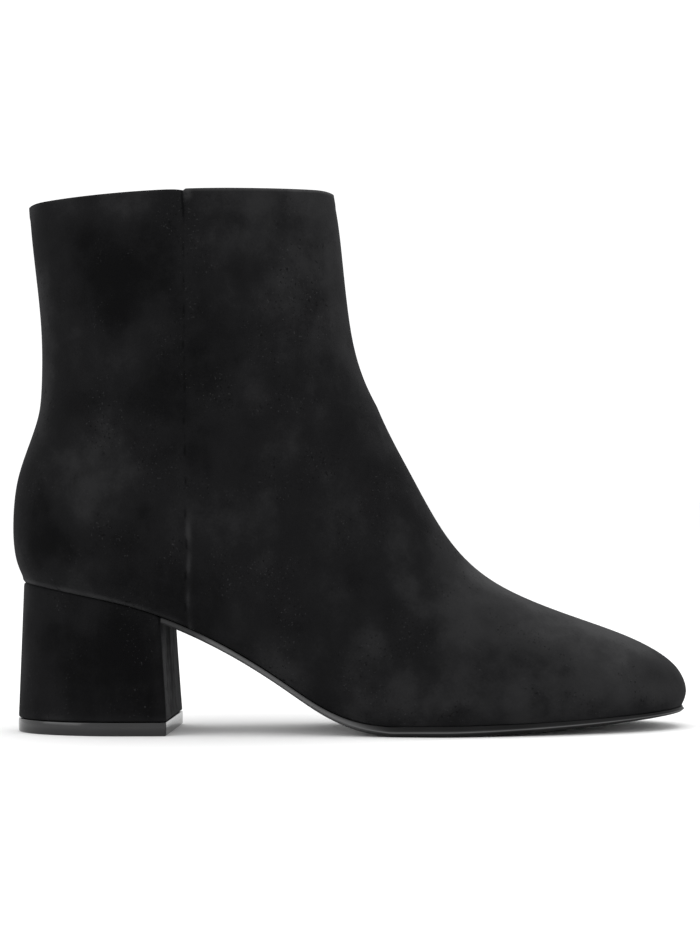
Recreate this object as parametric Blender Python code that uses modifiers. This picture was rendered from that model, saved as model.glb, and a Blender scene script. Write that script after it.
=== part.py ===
"""Right ankle boot: a suede upper on a covered block heel, closed by a zip on its inner side.

Metres, +Z up. +X runs from the heel to the toe, +Y is the inner (big toe) side, -Y the outer side.
The origin is on the floor, under the middle of the boot's box.
"""

import math

import bmesh
import bpy
import numpy as np
from mathutils import Matrix, Vector

# Driving sizes of the boot.
LENGTH = 0.250
BALL_WIDTH = 0.0842
COLLAR_HEIGHT = 0.1990
ANKLE_HEIGHT = 0.1200
HEEL_HEIGHT = 0.0570
TOE_SPRING = 0.0062
UPPER_WALL = 0.0018
SEAM_STEP = 0.0006
SEAM_FADE = 0.014
FIT_GAP = 0.0003

# Outsole, insole, heel and top lift.
SOLE_THICKNESS = 0.0038
SOLE_OVERHANG = 0.0006
SOLE_CHAMFER = 0.0007
INSOLE_THICKNESS = 0.0025
INSOLE_INSET = 0.0024
TOP_LIFT_THICKNESS = 0.0050
HEEL_BASE_WIDTH = 0.0530
HEEL_TUCK = -0.0003
HEEL_HOLLOW = 0.0010
HEEL_EDGE_RADIUS = 0.0010
LIFT_EDGE_RADIUS = 0.0006

# Zip on the inner side.
ZIP_SLOT = 0.0105
ZIP_BOTTOM_HEIGHT = 0.0640
TAPE_TAIL = 0.0060
TAPE_SETBACK = 0.0006
STOP_SETBACK = 0.0012
TAPE_WIDTH = 0.0110
TAPE_THICKNESS = 0.0008
COIL_WIDTH = 0.0060
COIL_THICKNESS = 0.0018
STOP_LENGTH = 0.0032
SLIDER_WIDTH = 0.0090
SLIDER_LENGTH = 0.0120
SLIDER_DROP = 0.0100
SLIDER_PLATE = 0.0010
SLIDER_NECK = 0.0022
SLIDER_CORNER = 0.0018
JOIN_OVERLAP = 0.0002
BRIDGE_WIDTH = 0.0018
BRIDGE_BAR = 0.0009
TAB_LENGTH = 0.0240
TAB_WIDTH = 0.0064
TAB_THICKNESS = 0.0012
TAB_ARM = 0.0017
TAB_CORNER = 0.0016
TAB_EDGE = 0.00025

# Places along the boot, as shares of LENGTH from the back of the counter.
SEAM_STATION = 0.265
BREAST_BASE_STATION = 0.239
BREAST_TOP_STATION = 0.230
HEEL_BASE_BACK_STATION = 0.0064
FLAT_START_STATION = 0.560
FLAT_END_STATION = 0.640

# Turn of the rear foot: how far the heel's breast is turned outwards, seen from above.
BREAST_TURN = math.radians(3.0)

# Underside of the sole from the back of the seat to the flat of the forepart.
# station: share of LENGTH; height: share of HEEL_HEIGHT.
TREAD_LINE = (
    # station, height
    (0.00, 0.955),
    (0.12, 0.869),
    (0.22, 0.733),
    (0.31, 0.556),
    (0.40, 0.315),
    (0.46, 0.139),
    (0.52, 0.030),
    (0.56, 0.000),
)

# Height of the upper's lower edge over the tread line: the outsole's thickness, thin in the waist
# and towards the toe tip, and behind the breast the lasted edge, which sags over the heel.
# station: share of LENGTH; thickness: share of SOLE_THICKNESS.
SOLE_LINE = (
    # station, thickness
    (0.00, 0.40),
    (0.12, 0.27),
    (0.21, 0.54),
    (0.31, 0.64),
    (0.42, 0.66),
    (0.50, 0.76),
    (0.60, 1.00),
    (0.68, 0.98),
    (0.78, 0.82),
    (0.87, 0.65),
    (0.94, 0.50),
    (1.00, 0.42),
)

# Middle line of the boot seen from above.
# station: share of LENGTH; swing: share of BALL_WIDTH, positive to the inner side.
CENTRE_LINE = (
    # station, swing
    (0.00, 0.018),
    (0.24, -0.012),
    (0.50, -0.018),
    (0.72, 0.004),
    (1.00, 0.048),
)

# Side profile. level: 0 at the feather edge, 1 at the collar. back and front: shares of LENGTH.
# rise: 0 at the feather edge, 1 at ANKLE_HEIGHT, 2 at COLLAR_HEIGHT.
# bow: how much of the sole's arch the section still follows.
SIDE_PROFILE = (
    # level, back, back rise, front, front rise, bow
    (0.00, 0.0172, 0.000, 0.9934, 0.000, 1.00),
    (0.03, 0.0100, 0.067, 0.9986, 0.028, 1.00),
    (0.07, 0.0044, 0.136, 0.9996, 0.061, 0.98),
    (0.12, 0.0014, 0.222, 0.9932, 0.102, 0.93),
    (0.18, 0.0006, 0.315, 0.9740, 0.152, 0.85),
    (0.25, 0.0018, 0.432, 0.9260, 0.216, 0.73),
    (0.34, 0.0082, 0.596, 0.8340, 0.296, 0.56),
    (0.44, 0.0246, 0.783, 0.7250, 0.400, 0.38),
    (0.54, 0.0396, 0.960, 0.6496, 0.554, 0.20),
    (0.64, 0.0446, 1.130, 0.5938, 0.766, 0.08),
    (0.74, 0.0454, 1.310, 0.5444, 0.990, 0.00),
    (0.84, 0.0414, 1.510, 0.5072, 1.318, 0.00),
    (0.94, 0.0320, 1.790, 0.4910, 1.770, 0.00),
    (1.00, 0.0288, 1.949, 0.4804, 2.000, 0.00),
)

# Plan sections at the same levels. Half widths are shares of BALL_WIDTH, caps are shares of the
# section's own length over which its ends round off, and power makes an end squarer.
PLAN_SECTIONS = (
    # level, heel, waist out, waist in, ball out, ball in, back cap, front cap, front power
    (0.00, 0.305, 0.325, 0.262, 0.465, 0.468, 0.15, 0.36, 2.25),
    (0.03, 0.338, 0.352, 0.310, 0.490, 0.494, 0.15, 0.36, 2.25),
    (0.07, 0.354, 0.370, 0.345, 0.500, 0.503, 0.15, 0.37, 2.20),
    (0.16, 0.358, 0.380, 0.374, 0.470, 0.480, 0.16, 0.42, 2.08),
    (0.25, 0.350, 0.378, 0.382, 0.425, 0.440, 0.17, 0.47, 2.00),
    (0.34, 0.338, 0.368, 0.376, 0.385, 0.400, 0.20, 0.51, 1.98),
    (0.46, 0.332, 0.362, 0.368, 0.350, 0.358, 0.27, 0.48, 2.00),
    (0.60, 0.345, 0.366, 0.368, 0.350, 0.352, 0.40, 0.42, 2.00),
    (0.76, 0.370, 0.370, 0.370, 0.368, 0.368, 0.50, 0.47, 2.00),
    (1.00, 0.390, 0.390, 0.390, 0.390, 0.390, 0.50, 0.50, 2.00),
)

# Where along a section its heel, waist and ball widths are measured, outer and inner side.
HEEL_SHARE = 0.15
WAIST_SHARE = 0.39
BALL_SHARE = {-1: 0.67, 1: 0.72}

OUTER, INNER = -1, 1

# The toe's outer side rounds off over a longer way than its inner side.
TOE_SKEW = {OUTER: 1.14, INNER: 0.90}

COLOURS = {
    # name: (colour, roughness, metallic)
    "suede": ((0.012, 0.012, 0.013), 0.95, 0.0),
    "sole rubber": ((0.022, 0.022, 0.023), 0.55, 0.0),
    "lift rubber": ((0.030, 0.030, 0.032), 0.35, 0.0),
    "lining": ((0.030, 0.028, 0.027), 0.85, 0.0),
    "zip tape": ((0.014, 0.014, 0.015), 0.90, 0.0),
    "zip coil": ((0.018, 0.018, 0.019), 0.45, 0.0),
    "gunmetal": ((0.160, 0.160, 0.165), 0.30, 1.0),
}


def ease(t):
    """0 below 0, 1 above 1, and a smooth step between."""
    t = np.clip(t, 0.0, 1.0)
    return t * t * t * (t * (6.0 * t - 15.0) + 10.0)


def blend(t):
    """0 below 0, 1 above 1, and a soft cosine step between."""
    return 0.5 - 0.5 * np.cos(math.pi * np.clip(t, 0.0, 1.0))


class Curve:
    """Natural cubic spline through one column of a table, against its first column."""

    def __init__(self, table, column):
        self.x = np.array([row[0] for row in table], float)
        self.y = np.array([row[column] for row in table], float)
        gap = np.diff(self.x)
        size = len(self.x)
        system = np.eye(size)
        bend = np.zeros(size)
        for i in range(1, size - 1):
            system[i, i - 1 : i + 2] = gap[i - 1], 2.0 * (gap[i - 1] + gap[i]), gap[i]
            bend[i] = 6.0 * ((self.y[i + 1] - self.y[i]) / gap[i] - (self.y[i] - self.y[i - 1]) / gap[i - 1])
        self.m = np.linalg.solve(system, bend)

    def __call__(self, t):
        t = np.asarray(t, float)
        i = np.clip(np.searchsorted(self.x, t) - 1, 0, len(self.x) - 2)
        gap = self.x[i + 1] - self.x[i]
        a = (self.x[i + 1] - t) / gap
        b = 1.0 - a
        bend = ((a**3 - a) * self.m[i] + (b**3 - b) * self.m[i + 1]) * gap**2 / 6.0
        return a * self.y[i] + b * self.y[i + 1] + bend


TREAD = Curve(TREAD_LINE, 1)
SOLE = Curve(SOLE_LINE, 1)
SWING = Curve(CENTRE_LINE, 1)
BACK, BACK_RISE, FRONT, FRONT_RISE, BOW = (Curve(SIDE_PROFILE, i) for i in range(1, 6))
HEEL, WAIST_OUT, WAIST_IN, BALL_OUT, BALL_IN, BACK_CAP, FRONT_CAP, FRONT_POWER = (
    Curve(PLAN_SECTIONS, i) for i in range(1, 9)
)


def station_x(share):
    """The row's x of a share of LENGTH."""
    return (np.asarray(share, float) - 0.5) * LENGTH


def tread_height(x):
    """Height of the sole's underside: the arch, the flat of the forepart and the toe spring."""
    share = x / LENGTH + 0.5
    arch = np.where(share < FLAT_START_STATION, TREAD(share) * HEEL_HEIGHT, 0.0)
    spring = np.clip((share - FLAT_END_STATION) / (1.0 - FLAT_END_STATION), 0.0, None) ** 1.5
    return np.maximum(arch, 0.0) + spring * TOE_SPRING


def sole_thickness(x):
    """Thickness of the outsole, and of what stands for it over the heel."""
    return SOLE(x / LENGTH + 0.5) * SOLE_THICKNESS


def feather_height(x):
    """Height of the upper's lower edge, a fitting gap above the outsole."""
    return tread_height(x) + sole_thickness(x) + FIT_GAP


def centre_y(x):
    return SWING(x / LENGTH + 0.5) * BALL_WIDTH


def section_ends(level):
    """Back and front of a section in the side view: x back, z back, x front, z front."""
    x_back = station_x(BACK(level))
    x_front = station_x(FRONT(level))
    low_back = feather_height(station_x(BACK(0.0)))
    low_front = feather_height(station_x(FRONT(0.0)))
    steps = (0.0, 1.0, 2.0)
    z_back = np.interp(BACK_RISE(level), steps, (low_back, ANKLE_HEIGHT, COLLAR_HEIGHT))
    z_front = np.interp(FRONT_RISE(level), steps, (low_front, ANKLE_HEIGHT, COLLAR_HEIGHT))
    return x_back, z_back, x_front, z_front


def end_cap(distance, cap, power):
    """Superellipse quarter: 0 at the section's end, 1 from one cap length inwards."""
    t = np.clip(1.0 - distance / cap, 0.0, 1.0)
    return (1.0 - t**power) ** (1.0 / power)


def half_width(level, share, side):
    """Half width of a section: heel, waist and ball joined by smooth steps, with rounded ends."""
    waist, ball = (WAIST_OUT, BALL_OUT) if side == OUTER else (WAIST_IN, BALL_IN)
    to_waist = blend((share - HEEL_SHARE) / (WAIST_SHARE - HEEL_SHARE))
    to_ball = blend((share - WAIST_SHARE) / (BALL_SHARE[side] - WAIST_SHARE))
    width = HEEL(level) + (waist(level) - HEEL(level)) * to_waist + (ball(level) - waist(level)) * to_ball
    skew = TOE_SKEW[side] + (1.0 - TOE_SKEW[side]) * ease(level / 0.5)
    front = end_cap(1.0 - share, FRONT_CAP(level) * skew, FRONT_POWER(level))
    return width * end_cap(share, BACK_CAP(level), 2.0) * front * BALL_WIDTH


def sole_bow(share):
    """How far the feather edge lies off the straight line from its back to its front."""
    x_back, z_back, x_front, z_front = section_ends(0.0)
    x = x_back + share * (x_front - x_back)
    return feather_height(x) - (z_back + share * (z_front - z_back))


def seam_lift(x, side):
    """The front panel laps over the back one on the outer side and fades into the wall."""
    if side == INNER:
        return 0.0
    ahead = x - station_x(SEAM_STATION)
    return np.where(ahead > 0.0, 1.0 - ease(ahead / SEAM_FADE), 0.0) * SEAM_STEP


def upper_at(level, share, side):
    """Point of the upper's outer face. share runs from a section's back to its front."""
    level, share = np.broadcast_arrays(np.asarray(level, float), np.asarray(share, float))
    x_back, z_back, x_front, z_front = section_ends(level)
    x = x_back + share * (x_front - x_back)
    y = centre_y(x) + side * (half_width(level, share, side) + seam_lift(x, side))
    turn = np.arccos(1.0 - 2.0 * share) / math.pi
    dipped = np.sin(0.5 * math.pi * np.clip(turn / 0.62, 0.0, 1.0)) ** 2
    along = share + (dipped - share) * ease((level - 0.70) / 0.30)
    z = z_back + (z_front - z_back) * along + BOW(level) * sole_bow(share)
    return np.stack([x, y, z], axis=-1)


def share_at(level, x):
    """Share of a section's length at which it crosses x."""
    x_back, _, x_front, _ = section_ends(level)
    return (x - x_back) / (x_front - x_back)


def share_of_turn(turn):
    return (1.0 - np.cos(math.pi * turn)) / 2.0


def turn_of_share(share):
    return np.arccos(1.0 - 2.0 * share) / math.pi


def wall_point(level, x, depth, side=INNER):
    """Point under the upper's outer face, depth inwards along its normal."""
    level, x = np.broadcast_arrays(np.asarray(level, float), np.asarray(x, float))
    step = 0.002

    def face(a, b):
        return upper_at(a, share_at(a, b), side)

    up = face(np.minimum(level + step, 1.0), x) - face(np.maximum(level - step, 0.0), x)
    along = face(level, x + step) - face(level, x - step)
    normal = np.cross(up, along) * (1.0 if side == INNER else -1.0)
    normal = normal / np.linalg.norm(normal, axis=-1, keepdims=True)
    return face(level, x) - normal * np.asarray(depth)[..., None]


def level_at_height(x, height, side=INNER):
    """Level at which the upper's face above x reaches a height."""
    levels = np.linspace(0.0, 1.0, 401)
    return float(np.interp(height, upper_at(levels, share_at(levels, x), side)[:, 2], levels))


def material(name):
    """Principled material of one of the boot's finishes."""
    found = bpy.data.materials.get(name)
    if found:
        return found
    colour, roughness, metallic = COLOURS[name]
    made = bpy.data.materials.new(name)
    made.use_nodes = True
    shader = made.node_tree.nodes["Principled BSDF"]
    shader.inputs["Base Color"].default_value = (*colour, 1.0)
    shader.inputs["Roughness"].default_value = roughness
    shader.inputs["Metallic"].default_value = metallic
    made.diffuse_color = (*colour, 1.0)
    return made


def add_object(name, points, faces, finish, smooth=True):
    """Named mesh object from points and faces, with its normals made to agree."""
    mesh = bpy.data.meshes.new(name)
    mesh.from_pydata([tuple(map(float, p)) for p in points], [], faces)
    work = bmesh.new()
    work.from_mesh(mesh)
    bmesh.ops.remove_doubles(work, verts=work.verts, dist=1e-6)
    bmesh.ops.recalc_face_normals(work, faces=work.faces)
    work.to_mesh(mesh)
    work.free()
    if smooth:
        mesh.shade_smooth()
        mesh.set_sharp_from_angle(angle=math.radians(35.0))
    made = bpy.data.objects.new(name, mesh)
    made.data.materials.append(material(finish))
    bpy.data.collections["Ankle boot"].objects.link(made)
    return made


def grid_faces(rows, columns, closed=False, skip=None):
    """Quads of a rows by columns grid of points, optionally closed round, leaving some out."""
    faces = []
    for i in range(rows - 1):
        for j in range(columns if closed else columns - 1):
            if skip and skip(i, j):
                continue
            k = (j + 1) % columns
            faces.append((i * columns + j, i * columns + k, (i + 1) * columns + k, (i + 1) * columns + j))
    return faces


def orient_outwards(obj, inside):
    """Turns an open surface so that its normals point away from a point inside it."""
    mesh = obj.data
    score = sum(
        (polygon.center - Vector(inside)).dot(polygon.normal) * polygon.area for polygon in mesh.polygons
    )
    if score < 0.0:
        mesh.flip_normals()


def add_wall(obj, thickness):
    """Gives an open surface its wall, measured inwards from the outer face."""
    wall = obj.modifiers.new("Wall", "SOLIDIFY")
    wall.thickness = thickness
    wall.offset = -1.0
    wall.use_even_offset = True
    wall.use_rim = True


def make_upper():
    """The upper: a lofted wall, open at the collar, under the sole and along the zip."""
    rows = 29
    back_columns, seam_columns, front_columns = 8, 2, 15
    levels = np.linspace(0.0, 1.0, rows) ** 1.35
    seam_x = station_x(SEAM_STATION)
    slot_level = level_at_height(seam_x, ZIP_BOTTOM_HEIGHT)
    slot_row = int(np.argmin(np.abs(levels - slot_level)))
    levels[slot_row] = slot_level
    loops = []
    for level in levels:
        sides = {}
        for side, gap in ((OUTER, SEAM_STEP), (INNER, ZIP_SLOT)):
            knots = turn_of_share(share_at(level, np.array([seam_x - gap / 2.0, seam_x + gap / 2.0])))
            turn = np.concatenate([
                np.linspace(0.0, knots[0], back_columns, endpoint=False),
                np.linspace(knots[0], knots[1], seam_columns, endpoint=False),
                np.linspace(knots[1], 1.0, front_columns + 1),
            ])
            sides[side] = upper_at(level, share_of_turn(turn), side)
        loops.append(np.concatenate([sides[OUTER], sides[INNER][-2:0:-1]]))
    columns = len(loops[0])
    first_slot = columns - back_columns - seam_columns
    slot = range(first_slot, first_slot + seam_columns)
    faces = grid_faces(rows, columns, True, lambda i, j: i >= slot_row and j in slot)
    upper = add_object("upper", np.concatenate(loops), faces, "suede")
    orient_outwards(upper, (station_x(0.30), 0.0, ANKLE_HEIGHT * 0.7))
    add_wall(upper, UPPER_WALL)
    return upper


def feather_rim(turns, side, offset, drop):
    """Points under the feather edge, moved outwards in plan by offset and down by drop."""
    step = 0.002
    here = upper_at(0.0, share_of_turn(turns), side)
    ahead = upper_at(0.0, share_of_turn(np.minimum(turns + step, 1.0)), side)
    behind = upper_at(0.0, share_of_turn(np.maximum(turns - step, 0.0)), side)
    way = ahead - behind
    normal = np.stack([-side * way[:, 1], side * way[:, 0]], axis=-1)
    normal[turns <= 0.0] = (-1.0, 0.0)
    normal[turns >= 1.0] = (1.0, 0.0)
    normal = normal / np.linalg.norm(normal, axis=1, keepdims=True)
    plan = here[:, :2] + normal * offset
    return np.column_stack([plan, feather_height(plan[:, 0]) - drop])


def add_slab(name, sections, finish):
    """Closed solid from sections across the boot: each is a ring of points, first and last capped."""
    ring = len(sections[0])
    faces = grid_faces(len(sections), ring, closed=True)
    faces.append(tuple(range(ring)))
    faces.append(tuple((len(sections) - 1) * ring + i for i in range(ring)))
    return add_object(name, np.concatenate(sections), faces, finish)


def breast_x(station, side_offset):
    """x of the heel's breast at a sideways offset, turned with the rear foot."""
    return station_x(station) + side_offset * math.tan(BREAST_TURN)


def breast_turn(station, side, clearance):
    """Turn at which the feather edge on one side meets the heel's breast."""
    half = BALL_WIDTH * float(HEEL(0.0))
    share = share_at(0.0, breast_x(station, side * half) + clearance)
    return float(turn_of_share(share))


def make_outsole():
    """The outsole, from the heel's breast to the toe, with a chamfered lower edge."""
    count = 34
    edges = {}
    for side in (OUTER, INNER):
        start = breast_turn(BREAST_TOP_STATION, side, 2.0 * FIT_GAP)
        turns = start + (1.0 - start) * np.linspace(0.0, 1.0, count)
        top = feather_rim(turns, side, SOLE_OVERHANG, FIT_GAP)
        low = top.copy()
        low[:, 2] = tread_height(low[:, 0]) + SOLE_CHAMFER
        bottom = feather_rim(turns, side, SOLE_OVERHANG - SOLE_CHAMFER, 0.0)
        bottom[:, 2] = tread_height(bottom[:, 0])
        edges[side] = (top, low, bottom)
    sections = []
    for i in range(count):
        outer = [edges[OUTER][k][i] for k in range(3)]
        inner = [edges[INNER][k][i] for k in (2, 1, 0)]
        sections.append(np.array(outer + inner))
    return add_slab("outsole", sections, "sole rubber")


def make_insole():
    """The insole board, lying inside the upper's lower edge from the seat to the toe."""
    count = 30
    turns = 0.5 - 0.5 * np.cos(np.linspace(0.0, math.pi, count))
    turns = 0.6 * np.linspace(0.0, 1.0, count) + 0.4 * turns
    edges = {}
    for side in (OUTER, INNER):
        top = feather_rim(turns, side, -INSOLE_INSET, -INSOLE_THICKNESS)
        bottom = feather_rim(turns, side, -INSOLE_INSET, 0.0)
        edges[side] = (top, bottom)
    sections = []
    for i in range(count):
        outer = [edges[OUTER][k][i] for k in (0, 1)]
        inner = [edges[INNER][k][i] for k in (1, 0)]
        sections.append(np.array(outer + inner))
    return add_slab("insole", sections, "lining")


def heel_outline(height):
    """Ring of the heel block. height: 0 at the top lift, 1 at the seat under the upper."""
    count = 12
    ring = []
    for side in (OUTER, INNER):
        end = breast_turn(BREAST_TOP_STATION, side, 0.0)
        turns = end * np.linspace(0.0, 1.0, count)
        seat = feather_rim(turns, side, -HEEL_TUCK, FIT_GAP)
        reach = (seat[:, 0] - seat[0, 0]) / (seat[-1, 0] - seat[0, 0])
        half = HEEL_BASE_WIDTH / 2.0
        corner = breast_x(BREAST_BASE_STATION, side * half)
        x_back = station_x(HEEL_BASE_BACK_STATION)
        base_x = x_back + reach * (corner - x_back)
        base_y = centre_y(base_x) + side * half * end_cap(reach, 0.72, 2.0)
        base = np.column_stack([base_x, base_y, np.full(count, TOP_LIFT_THICKNESS + FIT_GAP)])
        points = base + (seat - base) * height
        points[:, 1] -= side * HEEL_HOLLOW * 4.0 * height * (1.0 - height) * end_cap(reach, 0.3, 2.0)
        ring.append(points)
    return np.concatenate([ring[0], ring[1][:0:-1]])


def round_edges(obj, width, segments=2, angle=50.0):
    edge = obj.modifiers.new("Rounded edges", "BEVEL")
    edge.width = width
    edge.segments = segments
    edge.limit_method = "ANGLE"
    edge.angle_limit = math.radians(angle)


def stack_rings(name, rings, finish):
    """Closed block from a stack of rings that share their count, capped by strips across."""
    size = len(rings[0])
    faces = grid_faces(len(rings), size, closed=True)
    half = size // 2
    for base in (0, (len(rings) - 1) * size):
        faces.append((base, base + 1, base + size - 1))
        for i in range(1, half):
            faces.append((base + i, base + i + 1, base + size - i - 1, base + size - i))
    return add_object(name, np.concatenate(rings), faces, finish)


def make_heel():
    """The heel block, flared to its base, with a flat breast and a top cupped to the seat."""
    heights = np.linspace(0.0, 1.0, 7)
    heel = stack_rings("heel", [heel_outline(h) for h in heights], "suede")
    round_edges(heel, HEEL_EDGE_RADIUS)
    return heel


def make_top_lift():
    """The rubber lift under the heel, cut to the same outline."""
    top = heel_outline(0.0)
    top[:, 2] = TOP_LIFT_THICKNESS
    floor = top.copy()
    floor[:, 2] = 0.0
    lift = stack_rings("top_lift", [floor, top], "lift rubber")
    round_edges(lift, LIFT_EDGE_RADIUS)
    return lift


def zip_panel(name, levels, offsets, depth, thickness, finish):
    """Strip that follows the upper's inner side at a depth. offsets: x from the zip's line."""
    levels = np.asarray(levels, float)[:, None]
    x = station_x(SEAM_STATION) + np.asarray(offsets, float)
    points = wall_point(levels, x, np.full(np.broadcast_shapes(levels.shape, x.shape), depth))
    rows, columns = points.shape[:2]
    strip = add_object(name, points.reshape(-1, 3), grid_faces(rows, columns), finish)
    orient_outwards(strip, (station_x(SEAM_STATION), 0.0, ANKLE_HEIGHT))
    add_wall(strip, thickness)
    return strip


def zip_levels():
    """Named levels along the zip: bottom of the slot, bottom and top stops, slider, collar."""
    x = station_x(SEAM_STATION)
    top = float(upper_at(1.0, share_at(1.0, x), INNER)[2])
    return {
        "tape start": level_at_height(x, ZIP_BOTTOM_HEIGHT - TAPE_TAIL),
        "bottom stop": level_at_height(x, ZIP_BOTTOM_HEIGHT + STOP_SETBACK),
        "bottom stop end": level_at_height(x, ZIP_BOTTOM_HEIGHT + STOP_SETBACK + STOP_LENGTH),
        "coil start": level_at_height(x, ZIP_BOTTOM_HEIGHT + STOP_SETBACK + STOP_LENGTH + FIT_GAP),
        "slider": level_at_height(x, top - SLIDER_DROP),
        "coil end": level_at_height(x, top - SLIDER_DROP + 0.15 * SLIDER_LENGTH),
        "parting": level_at_height(x, top - SLIDER_DROP - 0.20 * SLIDER_LENGTH),
        "neck": level_at_height(x, top - SLIDER_DROP + 0.17 * SLIDER_LENGTH),
        "top stop": level_at_height(x, top - SLIDER_DROP + 0.5 * SLIDER_LENGTH + 2.0 * FIT_GAP),
        "top stop end": level_at_height(x, top - STOP_SETBACK),
        "tape end": level_at_height(x, top - TAPE_SETBACK),
    }


TAPE_DEPTH = UPPER_WALL + FIT_GAP
COIL_DEPTH = TAPE_DEPTH - FIT_GAP - COIL_THICKNESS


def make_zip_tapes(marks):
    """Two woven tapes behind the slot's edges. They part round the slider's neck at the top."""
    levels = np.linspace(marks["tape start"], marks["parting"], 18, endpoint=False)
    levels = np.append(levels, np.linspace(marks["parting"], marks["tape end"], 10))
    opening = ease((levels - marks["parting"]) / (marks["neck"] - marks["parting"]))
    inner = FIT_GAP / 2.0 + opening * (SLIDER_NECK / 2.0 + FIT_GAP)
    across = np.array([0.0, 0.35, 0.7, 1.0])
    tapes = []
    for name, way in (("zip_tape_front", 1.0), ("zip_tape_rear", -1.0)):
        offsets = way * (inner[:, None] + (TAPE_WIDTH - inner[:, None]) * across[None, :])
        tapes.append(zip_panel(name, levels, offsets, TAPE_DEPTH, TAPE_THICKNESS, "zip tape"))
    return tapes


def make_zip_coil(marks):
    """The closed coil, a flat strip here, from the bottom stop into the slider."""
    levels = np.linspace(marks["coil start"], marks["coil end"], 20)
    half = COIL_WIDTH / 2.0
    offsets = np.array([-half, -0.35 * half, 0.35 * half, half])[None, :]
    return zip_panel("zip_coil", levels, offsets, COIL_DEPTH, COIL_THICKNESS, "zip coil")


def make_bottom_stop(marks):
    """Clip that ends the coil at the bottom of the slot."""
    levels = [marks["bottom stop"], marks["bottom stop end"]]
    half = COIL_WIDTH * 0.55
    return zip_panel("zip_bottom_stop", levels, [[-half, half]], COIL_DEPTH, COIL_THICKNESS, "gunmetal")


def make_top_stops(marks):
    """A clip on each tape that keeps the slider from running out at the collar."""
    levels = [marks["top stop"], marks["top stop end"]]
    near = SLIDER_NECK / 2.0 + 2.0 * FIT_GAP
    far = near + COIL_WIDTH * 0.35
    for name, way in (("zip_top_stop_front", 1.0), ("zip_top_stop_rear", -1.0)):
        zip_panel(name, levels, [[way * near, way * far]], COIL_DEPTH, COIL_THICKNESS, "gunmetal")


def box_part(size, centre, corner=0.0):
    """Box as a loose object, used to build the slider and its tab. corner rounds its outline."""
    bpy.ops.mesh.primitive_cube_add(size=1.0)
    made = bpy.context.object
    made.data.transform(Matrix.Diagonal((*size, 1.0)))
    made.data.transform(Matrix.Translation(centre))
    if corner > 0.0:
        work = bmesh.new()
        work.from_mesh(made.data)
        upright = [e for e in work.edges if abs((e.verts[0].co - e.verts[1].co).z) > size[2] / 2.0]
        bmesh.ops.bevel(work, geom=upright, offset=corner, segments=4, profile=0.5, affect="EDGES")
        work.to_mesh(made.data)
        work.free()
    return made


def combine(body, others, operation):
    """Applies one Boolean for each of the other objects and removes them."""
    for other in others:
        cut = body.modifiers.new("Join", "BOOLEAN")
        cut.operation = operation
        cut.object = other
        bpy.context.view_layer.update()
        graph = bpy.context.evaluated_depsgraph_get()
        mesh = bpy.data.meshes.new_from_object(body.evaluated_get(graph))
        body.modifiers.clear()
        body.data = mesh
        bpy.data.objects.remove(other)
    return body


def finish_part(body, name, finish):
    """Names a built piece, gives it its finish and moves it to the boot's collection."""
    body.name = name
    body.data.name = name
    body.data.materials.clear()
    body.data.materials.append(material(finish))
    for holder in body.users_collection:
        holder.objects.unlink(body)
    bpy.data.collections["Ankle boot"].objects.link(body)
    return body


# The slider is built in its own frame: x across the zip, y up along it, z out of the boot,
# with z = 0 on the upper's outer face.
PLATE_BACK = -COIL_DEPTH + FIT_GAP
PLATE_FRONT = PLATE_BACK + SLIDER_PLATE
REAR_FRONT = -(TAPE_DEPTH + TAPE_THICKNESS + 2.0 * FIT_GAP)
REAR_BACK = REAR_FRONT - SLIDER_PLATE
FLANGE_END = -(TAPE_DEPTH - FIT_GAP)
PIVOT_OUT = PLATE_FRONT + FIT_GAP + TAB_THICKNESS * math.sqrt(0.5)
BRIDGE_INNER = PIVOT_OUT + TAB_THICKNESS * math.sqrt(0.5) + FIT_GAP
BRIDGE_REACH = TAB_THICKNESS * math.sqrt(0.5) + 2.0 * FIT_GAP


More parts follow.
